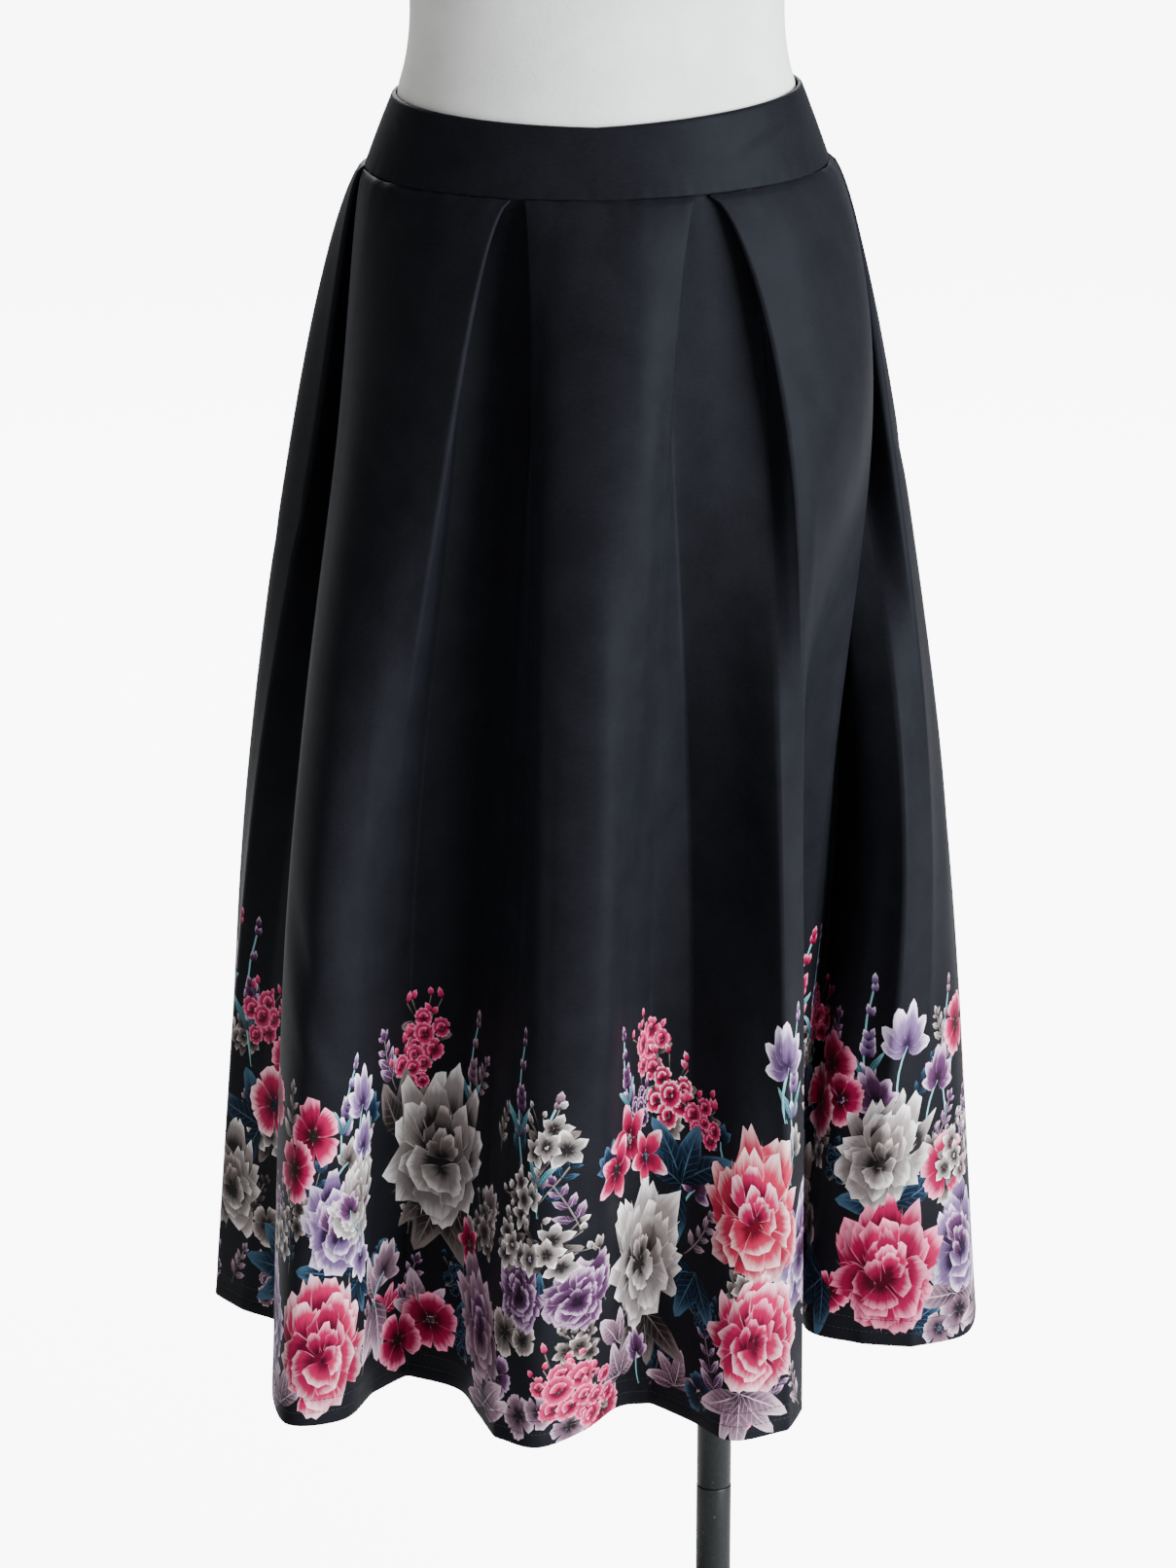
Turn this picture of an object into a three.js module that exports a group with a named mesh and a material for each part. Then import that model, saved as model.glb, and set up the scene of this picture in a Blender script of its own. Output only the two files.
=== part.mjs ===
// A midi length box pleated skirt on a plain limbless dress form with a round stand.
// Millimetres, +Z up. The front faces -Y. The origin is on the floor, under the middle of the base plate.
import * as THREE from "three";

// ---------- driving dimensions ----------

const SEAM_GAP = 0.3;            // clearance between pieces that meet
const HEM_HEIGHT = 309;          // floor to hem
const SKIRT_DROP = 770;          // waist seam to hem, measured straight down
const BAND_HEIGHT = 41;          // waist seam to the top of the band at the front
const SEAM_HEIGHT = HEM_HEIGHT + SKIRT_DROP;
const BAND_TOP = SEAM_HEIGHT + BAND_HEIGHT;

// The seam is an ellipse. It rides a little higher at the back and on the right side.
const SEAM = { halfWidth: 139.5, halfDepth: 100, backRise: 5, rightRise: 2 };
const BAND = { halfWidth: 122, halfDepth: 87.5, wall: 3, sideRise: 5, rightRise: 3 };
const BAND_COLUMNS = 32;

// The cloth. Each pleat is an inverted box pleat: two edges that face each other across a narrow gap,
// and an underlay behind them. The panels are cut with a flare, so that every width grows to the hem.
const CLOTH_WALL = 1.2;
const HEM_ALLOWANCE = 20;        // depth of the turned-up hem
const HEM_WALL = 2.2;
const FOLD_DEPTH = 24;           // each of a pleat's two overlaps at the seam
const PLEAT_GAP = 10;            // between a pleat's two edges at the seam
const LAYER_PITCH = 1.9;         // from one layer of the folded cloth to the next
const HEM_CLOTH = 1820;          // flat width of all the cloth at the hem
const FRONT_SHIFT = 8;           // how far the front centre has turned round the waist, to the right
const BOX_LEAD = 30;             // from a box's edge to its leading or trailing line
const SIDE_SEAM = 430;           // flat distance at the hem from the front centre to each side seam

// How high the two middle sections lie, as drops below the seam.
const HIP_DROP = 159;
const KNEE_DROP = 439;
const OPENING_EASE = 0.6;        // below 1, the pleats open quickly under the seam

// The cloth, going round from the front centre towards the right. A box has three lines in its length:
// leading, middle and trailing. A pleat has five: edge, inner fold, middle, inner fold and edge.
// seam is a box's width at the seam. hip, knee and hem give where each line lies in plan, as [x, y].
const PANELS = [
  {
    name: "front box", seam: 100,
    hip: [[-25, -135], [2, -141], [28, -136]],
    knee: [[-27, -160], [6, -157], [19, -130]],
    hem: [[-36, -182], [-8, -158], [12, -126]],
  },
  {
    name: "front right pleat",
    hip: [[42, -120], [45, -98], [72, -92], [102, -87], [117, -102]],
    knee: [[34, -106], [58, -98], [87, -116], [113, -137], [126, -112]],
    hem: [[34, -120], [58, -143], [84, -172], [119, -157], [129, -127]],
  },
  {
    name: "right front box", seam: 124,
    hip: [[141, -80], [159, -50], [167, -23]],
    knee: [[113, -82], [105, -47], [117, -16]],
    hem: [[113, -94], [98, -60], [99, -22]],
  },
  {
    name: "right side pleat",
    hip: [[169, 4], [152, 22], [148, 46], [160, 58], [179, 36]],
    knee: [[143, -4], [152, 22], [166, -8], [194, -28], [212, -6]],
    hem: [[119, 4], [133, 31], [139, -13], [172, -31], [205, -36]],
  },
  {
    name: "right back box", seam: 124,
    hip: [[184, 64], [171, 92], [147, 112]],
    knee: [[223, 30], [223, 67], [206, 98]],
    hem: [[240, -18], [250, 22], [247, 63]],
  },
  {
    name: "back right pleat",
    hip: [[116, 122], [112, 98], [83, 92], [54, 97], [48, 124]],
    knee: [[180, 120], [154, 125], [122, 112], [90, 120], [65, 140]],
    hem: [[229, 100], [200, 117], [161, 113], [123, 110], [91, 122]],
  },
  {
    name: "back box", seam: 101,
    hip: [[28, 136], [0, 142], [-27, 137]],
    knee: [[39, 160], [9, 170], [-24, 163]],
    hem: [[64, 144], [36, 170], [2, 187]],
  },
  {
    name: "back left pleat",
    hip: [[-47, 125], [-52, 99], [-82, 91], [-112, 96], [-119, 120]],
    knee: [[-50, 145], [-67, 122], [-92, 104], [-125, 105], [-152, 120]],
    hem: [[-31, 182], [-57, 161], [-83, 130], [-117, 108], [-151, 113]],
  },
  {
    name: "left back box", seam: 124,
    hip: [[-149, 110], [-174, 86], [-187, 52]],
    knee: [[-186, 118], [-214, 96], [-227, 64]],
    hem: [[-190, 130], [-227, 118], [-248, 84]],
  },
  {
    name: "left side pleat",
    hip: [[-172, 20], [-146, 38], [-130, 16], [-136, -8], [-157, -18]],
    knee: [[-221, 34], [-196, 18], [-178, -12], [-178, -46], [-188, -72]],
    hem: [[-252, 46], [-233, 21], [-205, -2], [-199, -40], [-205, -73]],
  },
  {
    name: "left front box", seam: 124,
    hip: [[-155, -47], [-143, -78], [-119, -103]],
    knee: [[-189, -108], [-172, -141], [-146, -137]],
    hem: [[-205, -113], [-193, -150], [-159, -142]],
  },
  {
    name: "front left pleat",
    hip: [[-91, -115], [-86, -90], [-62, -83], [-41, -97], [-38, -119]],
    knee: [[-129, -114], [-113, -87], [-80, -92], [-58, -116], [-46, -142]],
    hem: [[-142, -104], [-121, -80], [-88, -99], [-74, -136], [-63, -167]],
  },
];
const SKIRT_LEVELS = [0, 0.02, 0.05, 0.09, 0.14, 0.2, 0.28, 0.37, 0.47, 0.58, 0.69, 0.8, 0.9];

// The dress form, a row for each section: height above the top of the band, half width, half depth and
// how far its middle lies towards the back.
const FORM_SECTIONS = [
  { at: -292, halfWidth: 99, halfDepth: 60, back: 0 },
  { at: -289, halfWidth: 104, halfDepth: 65, back: 0 },
  { at: -278, halfWidth: 110, halfDepth: 71, back: 0 },
  { at: -250, halfWidth: 116, halfDepth: 76, back: 0 },
  { at: -200, halfWidth: 120, halfDepth: 80, back: 0 },
  { at: -140, halfWidth: 122, halfDepth: 83, back: 0 },
  { at: -80, halfWidth: 124, halfDepth: 85.5, back: 0 },
  { at: -40, halfWidth: 124, halfDepth: 86.5, back: 0 },
  { at: -15, halfWidth: 122.6, halfDepth: 86.8, back: 0 },
  { at: -4, halfWidth: 120.9, halfDepth: 86.2, back: 0 },
  { at: 8, halfWidth: 120.6, halfDepth: 85.6, back: 0 },
  { at: 16, halfWidth: 117.8, halfDepth: 84.2, back: 0 },
  { at: 28, halfWidth: 114.8, halfDepth: 82.8, back: 0 },
  { at: 52, halfWidth: 112, halfDepth: 82, back: 0 },
  { at: 85, halfWidth: 113.5, halfDepth: 83.5, back: 0 },
  { at: 130, halfWidth: 119, halfDepth: 88.5, back: -2 },
  { at: 175, halfWidth: 127, halfDepth: 95, back: -5 },
  { at: 215, halfWidth: 134, halfDepth: 99, back: -7 },
  { at: 255, halfWidth: 139, halfDepth: 98, back: -6 },
  { at: 295, halfWidth: 144, halfDepth: 91, back: -2 },
  { at: 330, halfWidth: 148, halfDepth: 80, back: 3 },
  { at: 352, halfWidth: 145, halfDepth: 70, back: 7 },
  { at: 370, halfWidth: 128, halfDepth: 62, back: 9 },
  { at: 386, halfWidth: 102, halfDepth: 56, back: 10 },
  { at: 402, halfWidth: 76, halfDepth: 52, back: 9 },
  { at: 420, halfWidth: 60, halfDepth: 50, back: 8 },
  { at: 445, halfWidth: 54, halfDepth: 49, back: 6 },
  { at: 468, halfWidth: 53, halfDepth: 49, back: 4 },
];
const FORM_COLUMNS = 40;
const NECK_CAP = { thickness: 8, edge: 2.5, overhang: 1.5 };

// The stand. Its pole is off to one side, and the base plate is centred under the form.
const POLE = { x: 78, upperRadius: 11.3, lowerRadius: 11.5, jointHeight: 192, sides: 24 };
const SOCKET = { flangeRadius: 24, flangeThickness: 6, collarRadius: 16, length: 48, fillet: 2, chamfer: 1 };
const BASE_PLATE = { radius: 175, thickness: 9, edge: 2.5, footChamfer: 1, sides: 56 };
const BASE_COLLAR = { radius: 21, rimHeight: 5, shoulderHeight: 11, neckRadius: 16, height: 34, chamfer: 1 };

const EDGE_ROUND = 0.3;          // a rounded edge's middle point, as a share of the edge's size

// ---------- the skirt's sections ----------

const SEAM_STEPS = 720;

// Distances round the waist seam, from the front centre towards the right, at equal steps of angle.
function seamDistances() {
  const distances = [0];
  for (let step = 1; step <= SEAM_STEPS; step += 1) {
    const angle = ((step - 0.5) / SEAM_STEPS) * 2 * Math.PI;
    const across = SEAM.halfWidth * Math.cos(angle);
    const along = SEAM.halfDepth * Math.sin(angle);
    distances.push(distances[step - 1] + (Math.hypot(across, along) * 2 * Math.PI) / SEAM_STEPS);
  }
  return distances;
}

const SEAM_DISTANCES = seamDistances();
const SEAM_ROUND = SEAM_DISTANCES[SEAM_STEPS];

// The point at a distance round the seam, moved outward.
function onSeam(distance, outward) {
  const wrapped = (((distance + FRONT_SHIFT) % SEAM_ROUND) + SEAM_ROUND) % SEAM_ROUND;
  let step = 1;
  while (SEAM_DISTANCES[step] < wrapped) {
    step += 1;
  }
  const before = SEAM_DISTANCES[step - 1];
  const part = (wrapped - before) / (SEAM_DISTANCES[step] - before);
  const angle = ((step - 1 + part) / SEAM_STEPS) * 2 * Math.PI;
  const normal = new THREE.Vector2(Math.sin(angle) / SEAM.halfWidth, -Math.cos(angle) / SEAM.halfDepth);
  normal.normalize();
  return [
    SEAM.halfWidth * Math.sin(angle) + normal.x * outward,
    -SEAM.halfDepth * Math.cos(angle) + normal.y * outward,
  ];
}

// Where each line of a panel lies round the seam, how much cloth comes before it there, and its layers:
// 1 is the outer one, 0 the return and -1 the underlay. A fold has two layers, one on each side of it.
function seamLines(panel, edge, cloth) {
  if (panel.seam) {
    const middle = panel.seam / 2;
    return [
      { at: edge + BOX_LEAD, cloth: cloth + BOX_LEAD, layers: [1] },
      { at: edge + middle, cloth: cloth + middle, layers: [0] },
      { at: edge + panel.seam - BOX_LEAD, cloth: cloth + panel.seam - BOX_LEAD, layers: [1] },
    ];
  }
  const far = edge + PLEAT_GAP;
  const half = 2 * FOLD_DEPTH + PLEAT_GAP / 2;
  return [
    { at: edge, cloth, layers: [1, 0] },
    { at: edge - FOLD_DEPTH, cloth: cloth + FOLD_DEPTH, layers: [0, -1] },
    { at: edge + PLEAT_GAP / 2, cloth: cloth + half, layers: [-1] },
    { at: far + FOLD_DEPTH, cloth: cloth + 2 * half - FOLD_DEPTH, layers: [-1, 0] },
    { at: far, cloth: cloth + 2 * half, layers: [0, 1] },
  ];
}

// A point moved by a distance in the direction from the point before it to the point after it.
function movedAlong(before, point, after, distance) {
  const along = new THREE.Vector2(after[0] - before[0], after[1] - before[1]).normalize();
  return [point[0] + along.x * distance, point[1] + along.y * distance];
}

// The lines that run from the seam to the hem. Each fold gives two, a little apart on the cloth.
function guideLines() {
  const boxes = PANELS.filter((panel) => panel.seam);
  const seamBoxes = boxes.reduce((sum, panel) => sum + panel.seam, 0);
  const pleatCloth = 4 * FOLD_DEPTH + PLEAT_GAP;
  const seamCloth = seamBoxes + boxes.length * pleatCloth;
  const spread = HEM_CLOTH / seamCloth;
  const roundScale = SEAM_ROUND / (seamBoxes + boxes.length * PLEAT_GAP);
  const turn = (Math.PI * LAYER_PITCH) / 4;
  const rows = [];
  let edge = -PANELS[0].seam / 2;
  let cloth = edge;
  for (const panel of PANELS) {
    seamLines(panel, edge, cloth).forEach((line, index) => {
      rows.push({ ...line, hip: panel.hip[index], knee: panel.knee[index], hem: panel.hem[index] });
    });
    edge += panel.seam || PLEAT_GAP;
    cloth += panel.seam || pleatCloth;
  }
  const lines = [];
  rows.forEach((row, index) => {
    const before = rows[(index + rows.length - 1) % rows.length];
    const after = rows[(index + 1) % rows.length];
    row.layers.forEach((layer, side) => {
      const reach = row.layers.length === 1 ? 0 : (2 * side - 1) * turn;
      const moved = (height) => movedAlong(before[height], row[height], after[height], reach * spread);
      lines.push({
        cloth: (row.cloth + reach) * spread,
        seam: onSeam(row.at * roundScale, layer * LAYER_PITCH),
        hip: moved("hip"),
        knee: moved("knee"),
        hem: moved("hem"),
      });
    });
  });
  return lines;
}

const GUIDES = guideLines();

function hermite(part, width, start, startSlope, end, endSlope) {
  const square = part * part;
  const cube = square * part;
  return (2 * cube - 3 * square + 1) * start + (cube - 2 * square + part) * width * startSlope
    + (3 * square - 2 * cube) * end + (cube - square) * width * endSlope;
}

// A guide line's place in plan at a share of the way down, by a smooth curve through its four points.
function guideAt(line, down) {
  const heights = [0, HIP_DROP / SKIRT_DROP, KNEE_DROP / SKIRT_DROP, 1].map((share) => share ** OPENING_EASE);
  const points = [line.seam, line.hip, line.knee, line.hem];
  const eased = down ** OPENING_EASE;
  let span = 0;
  while (span < 2 && eased > heights[span + 1]) {
    span += 1;
  }
  const width = heights[span + 1] - heights[span];
  const slope = (index, axis) => {
    const low = Math.max(index - 1, 0);
    const high = Math.min(index + 1, 3);
    return (points[high][axis] - points[low][axis]) / (heights[high] - heights[low]);
  };
  return [0, 1].map((axis) => hermite(
    (eased - heights[span]) / width, width,
    points[span][axis], slope(span, axis), points[span + 1][axis], slope(span + 1, axis),
  ));
}

// The middle of the cloth in plan: a closed smooth curve through the guide lines at one level.
function sectionAt(down) {
  const points = GUIDES.map((line) => guideAt(line, down));
  const count = GUIDES.length;
  const inLap = (index) => ((index % count) + count) % count;
  const clothOf = (index) => GUIDES[inLap(index)].cloth + Math.floor(index / count) * HEM_CLOTH;
  const pointOf = (index) => points[inLap(index)];
  const slope = (index, axis) => (pointOf(index + 1)[axis] - pointOf(index - 1)[axis])
    / (clothOf(index + 1) - clothOf(index - 1));
  return (cloth) => {
    const first = GUIDES[0].cloth;
    const wrapped = first + ((((cloth - first) % HEM_CLOTH) + HEM_CLOTH) % HEM_CLOTH);
    let index = 0;
    while (index < count - 1 && clothOf(index + 1) <= wrapped) {
      index += 1;
    }
    const width = clothOf(index + 1) - clothOf(index);
    return [0, 1].map((axis) => hermite(
      (wrapped - clothOf(index)) / width, width,
      pointOf(index)[axis], slope(index, axis), pointOf(index + 1)[axis], slope(index + 1, axis),
    ));
  };
}

const SMALLEST_STEP = 2;         // no column of points lies nearer to a side seam than this

// Cloth distances from one side seam to the next, with each span between guide lines cut in two.
function columnsBetween(from, to) {
  const stops = new Set([from, to]);
  for (const lap of [-1, 0, 1]) {
    GUIDES.forEach((line, index) => {
      const next = index + 1 < GUIDES.length ? GUIDES[index + 1].cloth : GUIDES[0].cloth + HEM_CLOTH;
      for (const cloth of [line.cloth, (line.cloth + next) / 2]) {
        const moved = cloth + lap * HEM_CLOTH;
        if (moved > from + SMALLEST_STEP && moved < to - SMALLEST_STEP) {
          stops.add(moved);
        }
      }
    });
  }
  return [...stops].sort((one, other) => one - other);
}

// ---------- solids ----------

function bodyFrom(points, triangles) {
  const geometry = new THREE.BufferGeometry();
  geometry.setAttribute("position", new THREE.Float32BufferAttribute(points.flat(), 3));
  geometry.setIndex(triangles.flat());
  geometry.computeVertexNormals();
  return geometry;
}

// A wall between two grids of points, given as rows from the top down, each row running to the right as
// seen from outside. Its two faces are joined round all four sides.
function wallBody(outer, inner) {
  const rows = outer.length;
  const columns = outer[0].length;
  const points = [...outer.flat(), ...inner.flat()];
  const out = (row, column) => row * columns + column;
  const back = (row, column) => rows * columns + row * columns + column;
  const triangles = [];
  const quad = (one, two, three, four) => triangles.push([one, two, three], [one, three, four]);
  const end = columns - 1;
  const foot = rows - 1;
  for (let row = 0; row + 1 < rows; row += 1) {
    for (let column = 0; column + 1 < columns; column += 1) {
      quad(out(row, column), out(row + 1, column), out(row + 1, column + 1), out(row, column + 1));
      quad(back(row, column), back(row, column + 1), back(row + 1, column + 1), back(row + 1, column));
    }
    quad(out(row, 0), back(row, 0), back(row + 1, 0), out(row + 1, 0));
    quad(out(row, end), out(row + 1, end), back(row + 1, end), back(row, end));
  }
  for (let column = 0; column + 1 < columns; column += 1) {
    quad(out(0, column), out(0, column + 1), back(0, column + 1), back(0, column));
    quad(out(foot, column), back(foot, column), back(foot, column + 1), out(foot, column + 1));
  }
  return bodyFrom(points, triangles);
}

// A body through closed rings, given from the bottom up, with flat ends.
function ringBody(rings) {
  const columns = rings[0].length;
  const points = rings.flat();
  const triangles = [];
  for (let row = 0; row + 1 < rings.length; row += 1) {
    for (let column = 0; column < columns; column += 1) {
      const next = (column + 1) % columns;
      const low = row * columns;
      const high = low + columns;
      triangles.push([low + column, low + next, high + next], [low + column, high + next, high + column]);
    }
  }
  const top = (rings.length - 1) * columns;
  for (let column = 1; column + 1 < columns; column += 1) {
    triangles.push([0, column + 1, column], [top, top + column, top + column + 1]);
  }
  return bodyFrom(points, triangles);
}

// Unit normals in plan for all but the ends of a run of points, which goes to the right as seen from outside.
function planNormals(run) {
  return run.slice(1, -1).map((point, index) => {
    const behind = new THREE.Vector2(point[0] - run[index][0], point[1] - run[index][1]).normalize();
    const ahead = new THREE.Vector2(run[index + 2][0] - point[0], run[index + 2][1] - point[1]).normalize();
    const along = ahead.add(behind).normalize();
    return [along.y, -along.x];
  });
}

function seamHeightAt(x, y) {
  const back = (y / SEAM.halfDepth + 1) / 2;
  return SEAM_HEIGHT + SEAM.backRise * back + (SEAM.rightRise * x) / SEAM.halfWidth;
}

const PAST_SEAM = 4;             // how far past a side seam the cloth is followed, for its direction there
const HEM_STEP = 0.003;          // share of the drop in which the wall grows to the hem's double cloth

function skirtPiece(from, to) {
  const columns = columnsBetween(from, to);
  const hemTop = 1 - HEM_ALLOWANCE / SKIRT_DROP;
  const levels = [...SKIRT_LEVELS, hemTop, hemTop + HEM_STEP, 1];
  const seamSection = sectionAt(0);
  const tops = columns.map((cloth) => seamHeightAt(...seamSection(cloth)) - SEAM_GAP);
  const outer = [];
  const inner = [];
  for (const down of levels) {
    const section = sectionAt(down);
    const run = columns.map((cloth) => section(cloth));
    const normals = planNormals([section(from - PAST_SEAM), ...run, section(to + PAST_SEAM)]);
    const half = CLOTH_WALL / 2;
    const inside = down > hemTop ? HEM_WALL - half : half;
    const at = (index, reach) => [
      run[index][0] + normals[index][0] * reach,
      run[index][1] + normals[index][1] * reach,
      tops[index] + (HEM_HEIGHT - tops[index]) * down,
    ];
    outer.push(columns.map((cloth, index) => at(index, half)));
    inner.push(columns.map((cloth, index) => at(index, -inside)));
  }
  return wallBody(outer, inner);
}

// The band is folded double. It leans in from the seam to its top edge, which is rounded. Each row gives
// a share of the band's height and a share of its wall.
const BAND_ROWS = [
  { up: 1, wall: 0.34 },
  { up: 0.97, wall: 0.8 },
  { up: 0.9, wall: 1 },
  { up: 0.45, wall: 1 },
  { up: 0, wall: 1 },
];

function bandPiece(from, to) {
  const outer = [];
  const inner = [];
  for (const { up, wall } of BAND_ROWS) {
    const rows = [1, -1].map((side) => {
      const row = [];
      for (let column = 0; column <= BAND_COLUMNS; column += 1) {
        const angle = from + ((to - from) * column) / BAND_COLUMNS;
        const reach = (side * wall * BAND.wall) / 2;
        const width = THREE.MathUtils.lerp(SEAM.halfWidth, BAND.halfWidth, up) + reach;
        const depth = THREE.MathUtils.lerp(SEAM.halfDepth, BAND.halfDepth, up) + reach;
        const x = width * Math.sin(angle);
        const y = -depth * Math.cos(angle);
        const foot = seamHeightAt(x, y);
        const rise = BAND.sideRise * Math.abs(Math.sin(angle)) + BAND.rightRise * Math.sin(angle);
        const top = BAND_TOP + SEAM.backRise * (1 - Math.cos(angle)) / 2 + rise;
        row.push([x, y, foot + (top - foot) * up]);
      }
      return row;
    });
    outer.push(rows[0]);
    inner.push(rows[1]);
  }
  return wallBody(outer, inner);
}

function formTorso() {
  return ringBody(FORM_SECTIONS.map(({ at, halfWidth, halfDepth, back }) => {
    const ring = [];
    for (let column = 0; column < FORM_COLUMNS; column += 1) {
      const angle = (column / FORM_COLUMNS) * 2 * Math.PI;
      ring.push([halfWidth * Math.cos(angle), back + halfDepth * Math.sin(angle), BAND_TOP + at]);
    }
    return ring;
  }));
}

function neckCap() {
  const neck = FORM_SECTIONS[FORM_SECTIONS.length - 1];
  const { thickness, edge, overhang } = NECK_CAP;
  const bottom = BAND_TOP + neck.at + SEAM_GAP;
  const rows = [
    { up: 0, inset: 0 },
    { up: thickness - edge, inset: 0 },
    { up: thickness - edge * EDGE_ROUND, inset: edge * EDGE_ROUND },
    { up: thickness, inset: edge },
  ];
  return ringBody(rows.map(({ up, inset }) => {
    const ring = [];
    for (let column = 0; column < FORM_COLUMNS; column += 1) {
      const angle = (column / FORM_COLUMNS) * 2 * Math.PI;
      const width = neck.halfWidth + overhang - inset;
      const depth = neck.halfDepth + overhang - inset;
      ring.push([width * Math.cos(angle), neck.back + depth * Math.sin(angle), bottom + up]);
    }
    return ring;
  }));
}

// A turned body from [radius, height] pairs that start and end on the axis or close on themselves.
function turned(profile, sides) {
  const outline = profile.map(([radius, height]) => new THREE.Vector2(radius, height));
  const geometry = new THREE.LatheGeometry(outline, sides);
  geometry.rotateX(Math.PI / 2);
  return geometry;
}

const FORM_BOTTOM = BAND_TOP + FORM_SECTIONS[0].at;
const SOCKET_TOP = FORM_BOTTOM - SEAM_GAP;
const POLE_TOP = SOCKET_TOP - SOCKET.flangeThickness - SEAM_GAP;
const POLE_FOOT = BASE_PLATE.thickness + SEAM_GAP;

function standSocket() {
  const bore = POLE.upperRadius + SEAM_GAP;
  const { flangeRadius, flangeThickness, collarRadius, length, fillet, chamfer } = SOCKET;
  return turned([
    [0, -flangeThickness], [bore, -flangeThickness], [bore, -length], [collarRadius - chamfer, -length],
    [collarRadius, chamfer - length], [collarRadius, -flangeThickness - fillet],
    [collarRadius + fillet, -flangeThickness], [flangeRadius, -flangeThickness], [flangeRadius, 0], [0, 0],
  ], POLE.sides);
}

function poleLength(bottom, top, radius) {
  return turned([[0, bottom], [radius, bottom], [radius, top], [0, top]], POLE.sides);
}

function baseCollar() {
  const bore = POLE.lowerRadius + SEAM_GAP;
  const { radius, rimHeight, shoulderHeight, neckRadius, height, chamfer } = BASE_COLLAR;
  return turned([
    [bore, 0], [radius, 0], [radius, rimHeight], [neckRadius, shoulderHeight],
    [neckRadius, height - chamfer], [neckRadius - chamfer, height], [bore, height], [bore, 0],
  ], POLE.sides);
}

function basePlate() {
  const { radius, thickness, edge, footChamfer } = BASE_PLATE;
  const round = edge * EDGE_ROUND;
  return turned([
    [0, 0], [radius - footChamfer, 0], [radius, footChamfer], [radius, thickness - edge],
    [radius - round, thickness - round], [radius - edge, thickness], [0, thickness],
  ], BASE_PLATE.sides);
}

// ---------- the whole object ----------

function finish(name, color, roughness, metalness) {
  return new THREE.MeshStandardMaterial({ name, color, roughness, metalness });
}

const cloth = finish("scuba_cloth", 0x15151a, 0.55, 0);
const bandCloth = finish("band_cloth", 0x17171c, 0.55, 0);
const formSkin = finish("form_skin", 0xdcdcda, 0.6, 0);
const poleMetal = finish("pole_metal", 0x2b2e31, 0.4, 0.8);
const baseMetal = finish("base_metal", 0x2b2e31, 0.45, 0.8);

const group = new THREE.Group();
group.name = "box_pleated_skirt";

function place(name, geometry, material, x, z) {
  const mesh = new THREE.Mesh(geometry, material);
  mesh.name = name;
  mesh.position.set(x, 0, z);
  group.add(mesh);
}

const HALF_GAP = SEAM_GAP / 2;
const QUARTER = Math.PI / 2;
const BAND_GAP = HALF_GAP / BAND.halfDepth;
const LOWER_TOP = POLE.jointHeight - HALF_GAP;
const UPPER_FOOT = POLE.jointHeight + HALF_GAP;
place("skirt_front", skirtPiece(-SIDE_SEAM + HALF_GAP, SIDE_SEAM - HALF_GAP), cloth, 0, 0);
place("skirt_back", skirtPiece(SIDE_SEAM + HALF_GAP, HEM_CLOTH - SIDE_SEAM - HALF_GAP), cloth, 0, 0);
place("waistband_front", bandPiece(-QUARTER + BAND_GAP, QUARTER - BAND_GAP), bandCloth, 0, 0);
place("waistband_back", bandPiece(QUARTER + BAND_GAP, 3 * QUARTER - BAND_GAP), bandCloth, 0, 0);
place("form_torso", formTorso(), formSkin, 0, 0);
place("form_neck_cap", neckCap(), formSkin, 0, 0);
place("stand_socket", standSocket(), poleMetal, POLE.x, SOCKET_TOP);
place("stand_pole_upper", poleLength(UPPER_FOOT, POLE_TOP, POLE.upperRadius), poleMetal, POLE.x, 0);
place("stand_pole_lower", poleLength(POLE_FOOT, LOWER_TOP, POLE.lowerRadius), poleMetal, POLE.x, 0);
place("base_collar", baseCollar(), baseMetal, POLE.x, POLE_FOOT);
place("base_plate", basePlate(), baseMetal, 0, 0);

export default group;
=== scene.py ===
"""A black box pleated midi skirt with a floral border, on a plain limbless dress form with a stand.

+Z is up and the front faces -Y. Cloth sizes, folds and flowers are in millimetres, as a pattern cutter
would note them, and are turned to metres where the meshes are made.
"""
import math
import random

import bmesh
import bpy
import numpy as np
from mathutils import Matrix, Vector
from mathutils.bvhtree import BVHTree
from mathutils.geometry import delaunay_2d_cdt


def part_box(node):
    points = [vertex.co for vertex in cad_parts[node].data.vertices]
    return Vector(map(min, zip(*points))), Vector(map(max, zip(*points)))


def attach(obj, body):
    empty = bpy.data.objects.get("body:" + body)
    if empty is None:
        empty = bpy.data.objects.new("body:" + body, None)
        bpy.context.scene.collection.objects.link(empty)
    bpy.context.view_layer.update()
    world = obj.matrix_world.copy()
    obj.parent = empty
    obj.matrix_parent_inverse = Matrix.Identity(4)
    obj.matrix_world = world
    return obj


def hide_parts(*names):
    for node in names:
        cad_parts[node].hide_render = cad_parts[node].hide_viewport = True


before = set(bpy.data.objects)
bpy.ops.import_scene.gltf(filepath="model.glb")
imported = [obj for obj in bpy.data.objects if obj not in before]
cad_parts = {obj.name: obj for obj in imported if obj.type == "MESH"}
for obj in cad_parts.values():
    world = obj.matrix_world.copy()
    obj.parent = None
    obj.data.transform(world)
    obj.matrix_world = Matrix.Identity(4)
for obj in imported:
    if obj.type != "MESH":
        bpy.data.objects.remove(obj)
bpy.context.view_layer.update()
bpy.ops.object.select_all(action="DESELECT")

MM = 0.001


# ---------- the cut of the skirt ----------

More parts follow.
